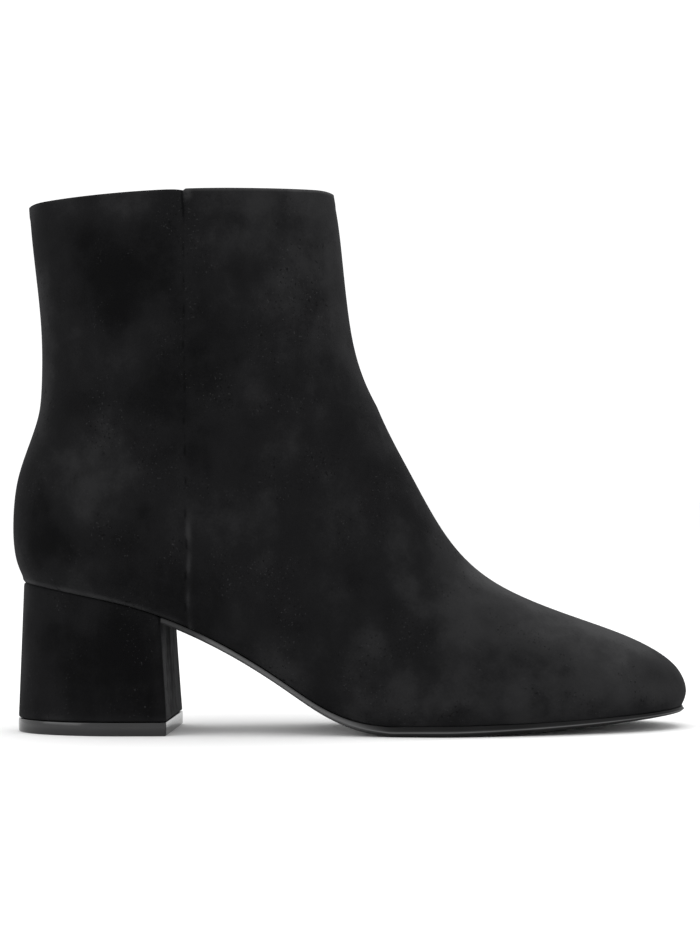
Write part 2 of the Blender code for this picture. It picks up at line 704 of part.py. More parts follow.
def make_slider():
    """Slider: front plate with side flanges, rear plate, neck between them and a bridge."""
    overlap = JOIN_OVERLAP
    thickness = SLIDER_PLATE
    front_size = (SLIDER_WIDTH, SLIDER_LENGTH, thickness)
    front = box_part(front_size, (0.0, 0.0, (PLATE_BACK + PLATE_FRONT) / 2.0), SLIDER_CORNER)
    flange_height = PLATE_BACK - FLANGE_END + overlap
    flange_width = (SLIDER_WIDTH - COIL_WIDTH) / 2.0 - FIT_GAP
    pieces = []
    for side in (-1.0, 1.0):
        centre = (side * (SLIDER_WIDTH - flange_width) / 2.0, 0.0, FLANGE_END + flange_height / 2.0)
        pieces.append(box_part((flange_width, SLIDER_LENGTH - 2.0 * SLIDER_CORNER, flange_height), centre))
    rear_size = (SLIDER_WIDTH * 0.80, SLIDER_LENGTH * 0.96, thickness)
    pieces.append(box_part(rear_size, (0.0, 0.0, (REAR_FRONT + REAR_BACK) / 2.0), SLIDER_CORNER))
    neck_height = PLATE_BACK - REAR_FRONT + 2.0 * overlap
    neck_length = SLIDER_LENGTH * 0.22
    neck_centre = (0.0, SLIDER_LENGTH * 0.45 - neck_length / 2.0, (PLATE_BACK + REAR_FRONT) / 2.0)
    pieces.append(box_part((SLIDER_NECK, neck_length, neck_height), neck_centre))
    bridge_height = BRIDGE_INNER + BRIDGE_BAR - PLATE_FRONT + overlap
    for side in (-1.0, 1.0):
        centre = (0.0, side * (BRIDGE_REACH + BRIDGE_BAR / 2.0), PLATE_FRONT - overlap + bridge_height / 2.0)
        pieces.append(box_part((BRIDGE_WIDTH, BRIDGE_BAR, bridge_height), centre))
    bar_size = (BRIDGE_WIDTH * 0.98, 2.0 * BRIDGE_REACH + BRIDGE_BAR, BRIDGE_BAR)
    pieces.append(box_part(bar_size, (0.0, 0.0, BRIDGE_INNER + BRIDGE_BAR / 2.0)))
    return finish_part(combine(front, pieces, "UNION"), "zip_slider", "gunmetal")


def make_pull_tab():
    """Pull tab hanging from the slider's bridge. Its origin is on the bar it swings about."""
    bar = TAB_THICKNESS / 2.0
    plate_size = (TAB_WIDTH, TAB_LENGTH, TAB_THICKNESS)
    plate = box_part(plate_size, (0.0, bar - TAB_LENGTH / 2.0, 0.0), TAB_CORNER)
    reach = math.hypot(BRIDGE_REACH + BRIDGE_BAR, BRIDGE_INNER + BRIDGE_BAR - PIVOT_OUT) + 2.0 * FIT_GAP
    window_size = (TAB_WIDTH - 2.0 * TAB_ARM, reach - bar, TAB_THICKNESS * 3.0)
    window = box_part(window_size, (0.0, -(reach + bar) / 2.0, 0.0))
    grip_size = (TAB_WIDTH * 0.46, TAB_LENGTH * 0.34, TAB_THICKNESS * 3.0)
    grip = box_part(grip_size, (0.0, -TAB_LENGTH * 0.72, 0.0), TAB_WIDTH * 0.2)
    tab = finish_part(combine(plate, [window, grip], "DIFFERENCE"), "zip_pull_tab", "gunmetal")
    round_edges(tab, TAB_EDGE, segments=1)
    return tab


def slider_frame():
    """Place of the slider on the upper: its origin on the outer face and its three directions."""
    x = station_x(SEAM_STATION)
    level = zip_levels()["slider"]
    origin = wall_point(level, x, 0.0)
    above = wall_point(level + 0.02, x, 0.0)
    outward = origin - wall_point(level, x, 0.001)
    up = Vector(above - origin).normalized()
    out = Vector(outward).normalized()
    across = up.cross(out).normalized()
    up = out.cross(across).normalized()
    turned = Matrix((across, up, out)).transposed().to_4x4()
    return Matrix.Translation(Vector(origin)) @ turned


def clear_scene():
    for obj in list(bpy.data.objects):
        bpy.data.objects.remove(obj)
    boot = bpy.data.collections.new("Ankle boot")
    bpy.context.scene.collection.children.link(boot)


def main():
    clear_scene()
    make_upper()
    make_outsole()
    make_insole()
    make_heel()
    make_top_lift()
    marks = zip_levels()
    make_zip_tapes(marks)
    make_zip_coil(marks)
    make_bottom_stop(marks)
    make_top_stops(marks)
    place = slider_frame()
    slider = make_slider()
    slider.matrix_world = place
    pivot = place @ Vector((0.0, 0.0, PIVOT_OUT))
    tab = make_pull_tab()
    tab.matrix_world = Matrix.Translation(pivot) @ Matrix.Rotation(math.pi / 2.0, 4, "X")
    print("pull tab pivot", [round(v, 5) for v in pivot])


main()
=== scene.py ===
"""Right ankle boot in black suede on a covered block heel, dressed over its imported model.

Metres, +Z up. +X runs from the heel to the toe, +Y is the inner (big toe) side, -Y the outer side.
"""

import math

import bmesh
import bpy
import numpy as np
from mathutils import Matrix, Vector


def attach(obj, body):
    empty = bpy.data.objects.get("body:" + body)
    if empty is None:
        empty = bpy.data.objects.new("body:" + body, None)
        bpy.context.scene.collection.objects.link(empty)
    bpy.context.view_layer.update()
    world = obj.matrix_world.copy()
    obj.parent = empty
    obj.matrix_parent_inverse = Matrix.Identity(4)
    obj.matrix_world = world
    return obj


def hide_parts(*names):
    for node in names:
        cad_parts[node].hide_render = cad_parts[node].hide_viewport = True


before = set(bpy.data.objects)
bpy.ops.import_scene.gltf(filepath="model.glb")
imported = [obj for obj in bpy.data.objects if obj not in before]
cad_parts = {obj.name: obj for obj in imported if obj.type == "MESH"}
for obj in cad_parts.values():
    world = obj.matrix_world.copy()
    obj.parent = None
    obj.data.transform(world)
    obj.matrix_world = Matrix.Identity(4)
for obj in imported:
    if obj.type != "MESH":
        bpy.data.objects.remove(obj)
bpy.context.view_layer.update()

# Camera
# The photograph is taken square to the boot's outer side, from a little above its middle, with a
# long lens. The camera stands a touch towards the toe, so the heel's breast shows as a strip.

VIEW_TARGET = Vector((0.0006, 0.0, 0.0975))
VIEW_DISTANCE = 1.25
VIEW_TURN, VIEW_RISE, VIEW_ROLL = (math.radians(a) for a in (0.8, 0.6, 0.4))
LENS_LENGTH, SENSOR_WIDTH = 129.84, 36.0

lens = bpy.data.cameras.new("Camera")
lens.lens = LENS_LENGTH
lens.sensor_width = SENSOR_WIDTH
lens.clip_start = 0.05
camera = bpy.data.objects.new("Camera", lens)
bpy.context.scene.collection.objects.link(camera)
away = Vector((
    math.sin(VIEW_TURN) * math.cos(VIEW_RISE),
    -math.cos(VIEW_TURN) * math.cos(VIEW_RISE),
    math.sin(VIEW_RISE),
))
right = Vector((0.0, 0.0, 1.0)).cross(away).normalized()
up = away.cross(right)
turned_right = right * math.cos(VIEW_ROLL) - up * math.sin(VIEW_ROLL)
turned_up = right * math.sin(VIEW_ROLL) + up * math.cos(VIEW_ROLL)
camera.matrix_world = Matrix.Translation(VIEW_TARGET + away * VIEW_DISTANCE) @ Matrix(
    (turned_right, turned_up, away)
).transposed().to_4x4()
bpy.context.scene.camera = camera
bpy.context.scene.view_settings.view_transform = "Standard"

# Floor and light
# A white paper sweep under an even white studio. A wide soft box hangs over the boot, so the toe
# and the instep catch more light than the sides, and soft shade gathers under the arch.

FLOOR_HALF = 4.0
FLOOR_COLOUR = (0.93, 0.93, 0.93, 1.0)

floor_mesh = bpy.data.meshes.new("floor")
edge = np.array([(-1, -1, 0), (1, -1, 0), (1, 1, 0), (-1, 1, 0)], float) * FLOOR_HALF
floor_mesh.from_pydata(edge.tolist(), [], [(0, 1, 2, 3)])
floor = bpy.data.objects.new("floor", floor_mesh)
bpy.context.scene.collection.objects.link(floor)
paper = bpy.data.materials.new("white paper")
paper.use_nodes = True
paper_shader = paper.node_tree.nodes["Principled BSDF"]
for key, value in (("Base Color", FLOOR_COLOUR), ("Roughness", 0.9), ("Specular IOR Level", 0.1)):
    paper_shader.inputs[key].default_value = value
floor_mesh.materials.append(paper)

world = bpy.data.worlds.new("studio")
world.use_nodes = True
world.node_tree.nodes["Background"].inputs["Color"].default_value = (1.0, 1.0, 1.0, 1.0)
world.node_tree.nodes["Background"].inputs["Strength"].default_value = 1.10
bpy.context.scene.world = world


def soft_box(name, place, aim, width, height, watts):
    """Rectangular area light at a place, facing the point it is aimed at."""
    lamp = bpy.data.lights.new(name, "AREA")
    lamp.shape = "RECTANGLE"
    lamp.size, lamp.size_y, lamp.energy = width, height, watts
    holder = bpy.data.objects.new(name, lamp)
    holder.location = place
    holder.rotation_euler = (Vector(aim) - Vector(place)).to_track_quat("-Z", "Y").to_euler()
    bpy.context.scene.collection.objects.link(holder)


soft_box("overhead", (0.28, 0.12, 1.40), (0.02, 0.0, 0.05), 1.3, 1.0, 6.0)
soft_box("toe_side", (1.10, -0.75, 0.45), (0.0, 0.0, 0.08), 0.9, 0.7, 3.0)
soft_box("heel_side", (-1.10, -0.60, 0.50), (0.0, 0.0, 0.06), 0.9, 0.7, 4.0)

# Upper
# The suede of the boot: a front panel that laps over the counter panel in a plain upright seam on
# the outer side, pulled over the last at its lower edge and turned in at the collar and the zip.

LENGTH = 0.250
BALL_WIDTH = 0.0842
COLLAR_HEIGHT = 0.1990
ANKLE_HEIGHT = 0.1200
HEEL_HEIGHT = 0.0570
TOE_SPRING = 0.0062
FIT_GAP = 0.0003
SOLE_THICKNESS = 0.0038
FLAT_START, FLAT_END = 0.560, 0.640
SEAM_X = (0.265 - 0.5) * LENGTH
SEAM_STEP = 0.0006
SEAM_FADE = 0.014
ZIP_SLOT = 0.0105
SLOT_MARGIN = 0.0045
STITCH_AWAY = 0.0022
ZIP_BOTTOM_HEIGHT = 0.0640
SUEDE_THICKNESS = 0.0012
COLLAR_DIP, DIP_REACH = 0.0009, 0.0155
HOLLOW_MIDDLE = (-0.05, 0.0, 0.084)
OUTER, INNER = -1, 1

# station (share of LENGTH), height (share of HEEL_HEIGHT) of the sole's underside
TREAD_LINE = (
    (0.00, 0.955), (0.12, 0.869), (0.22, 0.733), (0.31, 0.556),
    (0.40, 0.315), (0.46, 0.139), (0.52, 0.030), (0.56, 0.000),
)
# station, height of the upper's lower edge over the sole's underside (share of SOLE_THICKNESS)
SOLE_LINE = (
    (0.00, 0.40), (0.12, 0.27), (0.21, 0.54), (0.31, 0.64), (0.42, 0.66), (0.50, 0.76),
    (0.60, 1.00), (0.68, 0.98), (0.78, 0.82), (0.87, 0.65), (0.94, 0.50), (1.00, 0.42),
)
# station, swing of the boot's middle line to the inner side (share of BALL_WIDTH)
CENTRE_LINE = ((0.00, 0.018), (0.24, -0.012), (0.50, -0.018), (0.72, 0.004), (1.00, 0.048))
# level, back (share of LENGTH), back rise, front, front rise, share of the sole's arch
SIDE_PROFILE = (
    (0.00, 0.0172, 0.000, 0.9934, 0.000, 1.00),
    (0.03, 0.0100, 0.067, 0.9986, 0.028, 1.00),
    (0.07, 0.0044, 0.136, 0.9996, 0.061, 0.98),
    (0.12, 0.0014, 0.222, 0.9932, 0.102, 0.93),
    (0.18, 0.0006, 0.315, 0.9740, 0.152, 0.85),
    (0.25, 0.0018, 0.432, 0.9260, 0.216, 0.73),
    (0.34, 0.0082, 0.596, 0.8340, 0.296, 0.56),
    (0.44, 0.0246, 0.783, 0.7250, 0.400, 0.38),
    (0.54, 0.0396, 0.960, 0.6496, 0.554, 0.20),
    (0.64, 0.0446, 1.130, 0.5938, 0.766, 0.08),
    (0.74, 0.0454, 1.310, 0.5444, 0.990, 0.00),
    (0.84, 0.0414, 1.510, 0.5072, 1.318, 0.00),
    (0.94, 0.0320, 1.790, 0.4910, 1.770, 0.00),
    (1.00, 0.0288, 1.949, 0.4804, 2.000, 0.00),
)
# level, then half widths (shares of BALL_WIDTH): heel, waist out and in, ball out and in; the
# lengths over which the back and the front round off, and the front's squareness
PLAN_SECTIONS = (
    (0.00, 0.305, 0.325, 0.262, 0.465, 0.468, 0.15, 0.36, 2.25),
    (0.03, 0.338, 0.352, 0.310, 0.490, 0.494, 0.15, 0.36, 2.25),
    (0.07, 0.354, 0.370, 0.345, 0.500, 0.503, 0.15, 0.37, 2.20),
    (0.16, 0.358, 0.380, 0.374, 0.470, 0.480, 0.16, 0.42, 2.08),
    (0.25, 0.350, 0.378, 0.382, 0.425, 0.440, 0.17, 0.47, 2.00),
    (0.34, 0.338, 0.368, 0.376, 0.385, 0.400, 0.20, 0.51, 1.98),
    (0.46, 0.332, 0.362, 0.368, 0.350, 0.358, 0.27, 0.48, 2.00),
    (0.60, 0.345, 0.366, 0.368, 0.350, 0.352, 0.40, 0.42, 2.00),
    (0.76, 0.370, 0.370, 0.370, 0.368, 0.368, 0.50, 0.47, 2.00),
    (1.00, 0.390, 0.390, 0.390, 0.390, 0.390, 0.50, 0.50, 2.00),
)
HEEL_SHARE, WAIST_SHARE = 0.15, 0.39
BALL_SHARE = {OUTER: 0.67, INNER: 0.72}
TOE_SKEW = {OUTER: 1.14, INNER: 0.90}


def ease(t):
    """Fifth-power step: 0 below 0, 1 above 1, flat at both ends."""
    t = np.clip(t, 0.0, 1.0)
    return t * t * t * (t * (6.0 * t - 15.0) + 10.0)


def blend(t):
    """Cosine step: 0 below 0, 1 above 1."""
    return 0.5 - 0.5 * np.cos(math.pi * np.clip(t, 0.0, 1.0))


def hump(distance, width):
    """Bell curve: exp(-(distance / width)^2), 1 at no distance."""
    return np.exp(-((distance / width) ** 2))


class Curve:
    """Natural cubic spline through one column of a table, against the table's first column."""

    def __init__(self, table, column):
        self.x, self.y = np.array(table, float)[:, [0, column]].T
        gap = np.diff(self.x)
        inner = np.arange(1, len(self.x) - 1)
        system = np.eye(len(self.x))
        system[inner, inner - 1], system[inner, inner] = gap[:-1], 2.0 * (gap[:-1] + gap[1:])
        system[inner, inner + 1] = gap[1:]
        bend = np.zeros(len(self.x))
        bend[1:-1] = 6.0 * np.diff(np.diff(self.y) / gap)
        self.m = np.linalg.solve(system, bend)

    def __call__(self, t):
        t = np.asarray(t, float)
        i = np.clip(np.searchsorted(self.x, t) - 1, 0, len(self.x) - 2)
        gap = self.x[i + 1] - self.x[i]
        a = (self.x[i + 1] - t) / gap
        b = 1.0 - a
        bend = ((a**3 - a) * self.m[i] + (b**3 - b) * self.m[i + 1]) * gap**2 / 6.0
        return a * self.y[i] + b * self.y[i + 1] + bend


TREAD, SOLE, SWING = Curve(TREAD_LINE, 1), Curve(SOLE_LINE, 1), Curve(CENTRE_LINE, 1)
BACK, BACK_RISE, FRONT, FRONT_RISE, BOW = (Curve(SIDE_PROFILE, i) for i in range(1, 6))
HEEL, WAIST_OUT, WAIST_IN, BALL_OUT, BALL_IN, BACK_CAP, FRONT_CAP, FRONT_POWER = (
    Curve(PLAN_SECTIONS, i) for i in range(1, 9)
)


def station_x(share):
    """x of a share of the boot's length, from its back."""
    return (np.asarray(share, float) - 0.5) * LENGTH


def tread_height(x):
    """Underside of the sole: the arch's spline, a flat, then a toe spring that grows as share^1.5."""
    share = x / LENGTH + 0.5
    arch = np.where(share < FLAT_START, TREAD(share) * HEEL_HEIGHT, 0.0)
    spring = np.clip((share - FLAT_END) / (1.0 - FLAT_END), 0.0, None) ** 1.5 * TOE_SPRING
    return np.maximum(arch, 0.0) + spring


def sole_thickness(x):
    """Outsole's thickness, and behind the breast the depth of what stands for it over the heel."""
    return SOLE(x / LENGTH + 0.5) * SOLE_THICKNESS


def feather_height(x):
    """Height of the upper's lower edge: tread, sole and a fitting gap."""
    return tread_height(x) + sole_thickness(x) + FIT_GAP


def centre_y(x):
    """Sideways place of the boot's middle line."""
    return SWING(x / LENGTH + 0.5) * BALL_WIDTH


def section_ends(level):
    """x and z of a section's back and front; rises 0, 1, 2 are the feather edge, ankle and collar."""
    x_back, x_front = station_x(BACK(level)), station_x(FRONT(level))
    low_back, low_front = feather_height(station_x(BACK(0.0))), feather_height(station_x(FRONT(0.0)))
    z_back = np.interp(BACK_RISE(level), (0.0, 1.0, 2.0), (low_back, ANKLE_HEIGHT, COLLAR_HEIGHT))
    z_front = np.interp(FRONT_RISE(level), (0.0, 1.0, 2.0), (low_front, ANKLE_HEIGHT, COLLAR_HEIGHT))
    return x_back, z_back, x_front, z_front


def end_cap(distance, cap, power):
    """Superellipse quarter: 0 at the end, 1 from one cap length inwards."""
    t = np.clip(1.0 - distance / cap, 0.0, 1.0)
    return (1.0 - t**power) ** (1.0 / power)


def half_width(level, share, side):
    """Heel, waist and ball widths joined by cosine steps, times the two rounded ends."""
    waist, ball = (WAIST_OUT, BALL_OUT) if side == OUTER else (WAIST_IN, BALL_IN)
    to_waist = blend((share - HEEL_SHARE) / (WAIST_SHARE - HEEL_SHARE))
    to_ball = blend((share - WAIST_SHARE) / (BALL_SHARE[side] - WAIST_SHARE))
    width = HEEL(level) + (waist(level) - HEEL(level)) * to_waist + (ball(level) - waist(level)) * to_ball
    skew = TOE_SKEW[side] + (1.0 - TOE_SKEW[side]) * ease(level / 0.5)
    front = end_cap(1.0 - share, FRONT_CAP(level) * skew, FRONT_POWER(level))
    return width * end_cap(share, BACK_CAP(level), 2.0) * front * BALL_WIDTH


def face_at(level, share, side):
    """Upper's outer face: x from a section's back to its front, y by its half width, z along the
    line between its ends, plus its share of the arch and, near the collar, an early rise."""
    level, share = np.broadcast_arrays(np.asarray(level, float), np.asarray(share, float))
    x_back, z_back, x_front, z_front = section_ends(level)
    x = x_back + share * (x_front - x_back)
    y = centre_y(x) + side * half_width(level, share, side)
    turn = np.arccos(1.0 - 2.0 * share) / math.pi
    dipped = np.sin(0.5 * math.pi * np.clip(turn / 0.62, 0.0, 1.0)) ** 2
    along = share + (dipped - share) * ease((level - 0.70) / 0.30)
    seat_back, z0, seat_front, z1 = section_ends(0.0)
    under = seat_back + share * (seat_front - seat_back)
    arch = feather_height(under) - (z0 + share * (z1 - z0))
    return np.stack([x, y, z_back + (z_front - z_back) * along + BOW(level) * arch], axis=-1)


def share_at(level, x):
    """Share of a section's length at which it crosses x."""
    x_back, _, x_front, _ = section_ends(level)
    return (x - x_back) / (x_front - x_back)


def turn_at(level, x):
    """Turn round a section, 0 at its back and 1 at its front, at which it crosses x."""
    return np.arccos(np.clip(1.0 - 2.0 * share_at(level, x), -1.0, 1.0)) / math.pi


def share_of_turn(turn):
    """Share of a section's length at a turn round it: (1 - cos(pi turn)) / 2."""
    return (1.0 - np.cos(math.pi * turn)) / 2.0


def level_at(x, heights, side=INNER):
    """Levels at which the face above x reaches the given heights, read off a fine table."""
    table = np.linspace(0.0, 1.0, 801)
    return np.interp(heights, face_at(table, share_at(table, x), side)[:, 2], table)


def knotted(knots, counts):
    """Columns from knot to knot, evenly spaced in each stretch. knots: one array per knot."""
    parts = [
        low[:, None] + (high - low)[:, None] * np.linspace(0.0, 1.0, n, endpoint=False)
        for low, high, n in zip(knots[:-1], knots[1:], counts)
    ]
    return np.concatenate(parts + [knots[-1][:, None]], axis=1)


def shell_grid(levels, slot_half, outer_counts, inner_counts):
    """Points, normals and columns' sides of the boot's face: one ring of columns a level, up the
    outer side from back to front and down the inner side again, with the zip's slot on knots."""
    seam_knots = (-0.006, -0.0014, 0.0, 0.0014, 0.006)
    slot_knots = (-slot_half - SLOT_MARGIN, -slot_half, slot_half, slot_half + SLOT_MARGIN)
    turns = {}
    for side, knots, counts in ((OUTER, seam_knots, outer_counts), (INNER, slot_knots, inner_counts)):
        at_knots = [turn_at(levels, SEAM_X + ahead) for ahead in knots]
        turns[side] = knotted([np.zeros_like(levels), *at_knots, np.ones_like(levels)], counts)
    outer = face_at(levels[:, None], share_of_turn(turns[OUTER]), OUTER)
    inner = face_at(levels[:, None], share_of_turn(turns[INNER]), INNER)[:, -2:0:-1]
    points = np.concatenate([outer, inner], axis=1)
    sides = np.repeat([OUTER, INNER], [outer.shape[1], inner.shape[1]])
    along = np.roll(points, -1, axis=1) - np.roll(points, 1, axis=1)
    normal = np.cross(along, np.gradient(points, axis=0))
    normal /= np.linalg.norm(normal, axis=-1, keepdims=True)
    first_slot = outer.shape[1] + sum(inner_counts[3:]) - 1
    return points, normal, sides, range(first_slot, first_slot + inner_counts[2])


def in_slot(first_row, columns):
    """Test for the quads of the zip's slot: its columns, from its first row up to the collar."""
    return lambda i, j: (i >= first_row) & (j >= columns.start) & (j < columns.stop)


def seal_mesh(mesh, sharp):
    """Merges doubled points, turns faces outwards, and shades smooth but for edges past an angle."""
    work = bmesh.new()
    work.from_mesh(mesh)
    bmesh.ops.remove_doubles(work, verts=work.verts, dist=2e-6)
    bmesh.ops.recalc_face_normals(work, faces=work.faces)
    work.to_mesh(mesh)
    work.free()
    mesh.shade_smooth()
    mesh.set_sharp_from_angle(angle=math.radians(sharp))


def build_mesh(name, points, wrap=False, drop=None, sharp=40.0, painted_light=None):
    """Mesh object from grids of points [..., rows, columns, 3], one grid for each leading index.
    wrap closes the columns round. drop: quads left out. Rows drawn to one point close as poles.
    painted_light: painted highlight, sheen and shade at each point, kept as an attribute."""
    points = np.asarray(points, float)
    rows, columns = points.shape[-3:-1]
    copies = int(np.prod(points.shape[:-3])) if points.ndim > 3 else 1
    i, j = np.meshgrid(np.arange(rows - 1), np.arange(columns if wrap else columns - 1), indexing="ij")
    k = (j + 1) % columns
    low, high = i * columns, (i + 1) * columns
    quads = np.stack([low + j, low + k, high + k, high + j], axis=-1)
    if drop is not None:
        quads = quads[~drop(i, j)]
    quads = quads.reshape(-1, 4)
    quads = (np.arange(copies)[:, None, None] * rows * columns + quads).reshape(-1, 4)
    used, quads = np.unique(quads, return_inverse=True)
    mesh = bpy.data.meshes.new(name)
    mesh.from_pydata(points.reshape(-1, 3)[used].tolist(), [], quads.reshape(-1, 4).tolist())
    if painted_light is not None:
        values = np.ascontiguousarray(np.ravel(painted_light)[used], dtype=np.float32)
        mesh.attributes.new("painted_light", "FLOAT", "POINT").data.foreach_set("value", values)
    seal_mesh(mesh, sharp)
    made = bpy.data.objects.new(name, mesh)
    bpy.context.scene.collection.objects.link(made)
    return made


def face_outwards(piece, inside):
    """Turns an open sheet over where its faces look, on the whole, towards a point inside it."""
    faces = piece.data.polygons
    centre, normal, area = np.zeros(len(faces) * 3), np.zeros(len(faces) * 3), np.zeros(len(faces))
    faces.foreach_get("center", centre)
    faces.foreach_get("normal", normal)
    faces.foreach_get("area", area)
    away = (centre.reshape(-1, 3) - np.array(inside)) * normal.reshape(-1, 3)
    if (away.sum(axis=1) * area).sum() < 0.0:
        piece.data.flip_normals()


def give_wall(piece, thickness, rounding, segments=3):
    """Wall inwards from the face, then its rim edges rounded."""
    wall = piece.modifiers.new("wall", "SOLIDIFY")
    wall.thickness, wall.offset, wall.use_even_offset = thickness, -1.0, True
    rim = piece.modifiers.new("rim", "BEVEL")
    rim.width, rim.segments, rim.limit_method = rounding, segments, "ANGLE"
    rim.angle_limit = math.radians(55.0)


class Tone:
    """One socket of a material's nodes. Arithmetic on it adds Math nodes."""

    def __init__(self, tree, socket=None):
        self.tree, self.socket = tree, socket

    def node(self, kind, settings, values, output=0):
        """Adds a node: its settings first, then the values or links of its sockets."""
        made = self.tree.nodes.new(kind)
        for name, value in settings.items():
            setattr(made, name, value)
        for name, value in values.items():
            if isinstance(value, Tone):
                self.tree.links.new(value.socket, made.inputs[name])
            else:
                made.inputs[name].default_value = value
        return Tone(self.tree, made.outputs[output])

    def maths(self, operation, first, second=0.0):
        """Math node of one operation on two values."""
        return self.node("ShaderNodeMath", {"operation": operation}, {0: first, 1: second})

    def __add__(self, other):
        return self.maths("ADD", self, other)

    def __sub__(self, other):
        return self.maths("SUBTRACT", self, other)

    def __rsub__(self, other):
        return self.maths("SUBTRACT", other, self)

    def __mul__(self, other):
        return self.maths("MULTIPLY", self, other)

    __radd__, __rmul__ = __add__, __mul__

    def span(self, low, high, start=0.0, end=1.0):
        """Smooth step from start to end as the value goes from low to high."""
        values = {"Value": self, "From Min": low, "From Max": high, "To Min": start, "To Max": end}
        return self.node("ShaderNodeMapRange", {"interpolation_type": "SMOOTHSTEP"}, values)

    def scaled(self, scale, turn=(0.0, 0.0, 0.0)):
        """The vector turned and scaled by a Mapping node."""
        return self.node("ShaderNodeMapping", {}, {"Vector": self, "Rotation": turn, "Scale": scale})

    def noise(self, scale, detail=2.0, roughness=0.5):
        """Noise read at this vector."""
        values = {"Vector": self, "Scale": scale, "Detail": detail, "Roughness": roughness}
        return self.node("ShaderNodeTexNoise", {}, values)

    def axis(self, name):
        """One coordinate of this vector."""
        return self.node("ShaderNodeSeparateXYZ", {}, {0: self}, output=name)

    def near(self, centre, reach):
        """1 at a place, fading to 0 at its reach along each axis."""
        gap = self.node("ShaderNodeVectorMath", {"operation": "SUBTRACT"}, {0: self, 1: centre})
        inverse = tuple(1.0 / r for r in reach)
        gap = gap.node("ShaderNodeVectorMath", {"operation": "MULTIPLY"}, {0: gap, 1: inverse})
        distance = gap.node("ShaderNodeVectorMath", {"operation": "LENGTH"}, {0: gap}, output="Value")
        return distance.span(1.0, 0.0)

    def mix(self, first, second):
        """Colour between two others, by this value."""
        return self.node("ShaderNodeMix", {"data_type": "RGBA"}, {0: self, 6: first, 7: second}, output=2)

    def bump(self, strength, distance, under=None):
        """Bump of this height, over an earlier bump if there is one."""
        values = {"Height": self, "Strength": strength, "Distance": distance}
        if under is not None:
            values["Normal"] = under
        return self.node("ShaderNodeBump", {}, values)


def start_finish(name, colour, **constants):
    """New material with its constants set on the shader. Returns it, its shader and its places."""
    made = bpy.data.materials.new(name)
    made.use_nodes = True
    made.diffuse_color = (*colour, 1.0)
    shader = made.node_tree.nodes["Principled BSDF"]
    shader.inputs["Base Color"].default_value = (*colour, 1.0)
    for key, value in constants.items():
        shader.inputs[key.replace("_", " ")].default_value = value
    places = Tone(made.node_tree).node("ShaderNodeTexCoord", {}, {}, output="Object")
    return made, shader, places


def feed(shader, **tones):
    """Links what varies over the surface to the shader."""
    for key, tone in tones.items():
        shader.id_data.links.new(tone.socket, shader.inputs[key.replace("_", " ")])


SUEDE_DARK = (0.0030, 0.0030, 0.0032, 1.0)
SUEDE_MID = (0.0070, 0.0070, 0.0074, 1.0)
SUEDE_LIGHT = (0.0170, 0.0170, 0.0176, 1.0)
SUEDE_PALE = (0.0420, 0.0420, 0.0430, 1.0)


def suede(name, painted_highlights, painted_shade, streaks):
    """Napped suede. Broad and narrow clouds, strokes of brushing and blotches shift the pile between four
    blacks; named patches paint highlights and shade on it, the mesh's painted_light attribute adds painted
    sheen, highlights and shade, and loose fibres and bare grains stand as fine specks."""
    made, shader, places = start_finish(
        name, SUEDE_MID[:3], Roughness=0.95, Specular_IOR_Level=0.02,
        Sheen_Weight=0.025, Sheen_Roughness=0.5, Sheen_Tint=(0.80, 0.81, 0.84, 1.0),
    )
    broad = places.noise(17.0, 2.0, 0.5).span(0.38, 0.62)
    cloud = places.noise(46.0, 4.0, 0.62).span(0.34, 0.66)
    stroke = places.scaled(streaks, (0.0, math.radians(24.0), 0.0)).noise(1.0, 2.5, 0.6).span(0.36, 0.68)
    blotch = places.noise(105.0, 2.0, 0.6).span(0.58, 0.74)
    fibre = places.noise(1150.0, 2.0, 0.65)
    bands = places.noise(60.0, 1.0).span(0.46, 0.64)
    fleck = places.noise(1250.0, 1.0, 0.5).span(0.66, 0.76) * bands
    grain = places.noise(1000.0, 1.0, 0.5).span(0.36, 0.28) * bands
    painted_marks = places.node("ShaderNodeAttribute", {"attribute_name": "painted_light"}, {}, output="Fac")
    # Clouds, strokes, fibres and blotches are the suede's own tone; the attribute and the patches add painted
    # light.
    pile_and_painted_light = broad * 0.23 + cloud * 0.27 + stroke * 0.21 + fibre * 0.24 - blotch * 0.09 + painted_marks
    for centre, reach, strength in painted_highlights:
        pile_and_painted_light = pile_and_painted_light + places.near(centre, reach) * strength
    for centre, reach, strength in painted_shade:
        pile_and_painted_light = pile_and_painted_light - places.near(centre, reach) * strength
    colour = pile_and_painted_light.span(0.02, 0.58).mix(SUEDE_DARK, SUEDE_MID)
    colour = pile_and_painted_light.span(0.50, 1.10).mix(colour, SUEDE_LIGHT)
    # The palest tier paints the highlights on the toe and the instep.
    colour = pile_and_painted_light.span(1.00, 1.90).mix(colour, SUEDE_PALE)
    colour = (fleck * 0.36).mix(colour, SUEDE_PALE)
    colour = (grain * 0.75).mix(colour, SUEDE_DARK)
    soft = places.noise(210.0, 3.0, 0.6).bump(0.25, 0.0004)
    feed(shader, Base_Color=colour, Roughness=0.98 - fibre * 0.10, Normal=fibre.bump(0.45, 0.00022, soft))
    return made
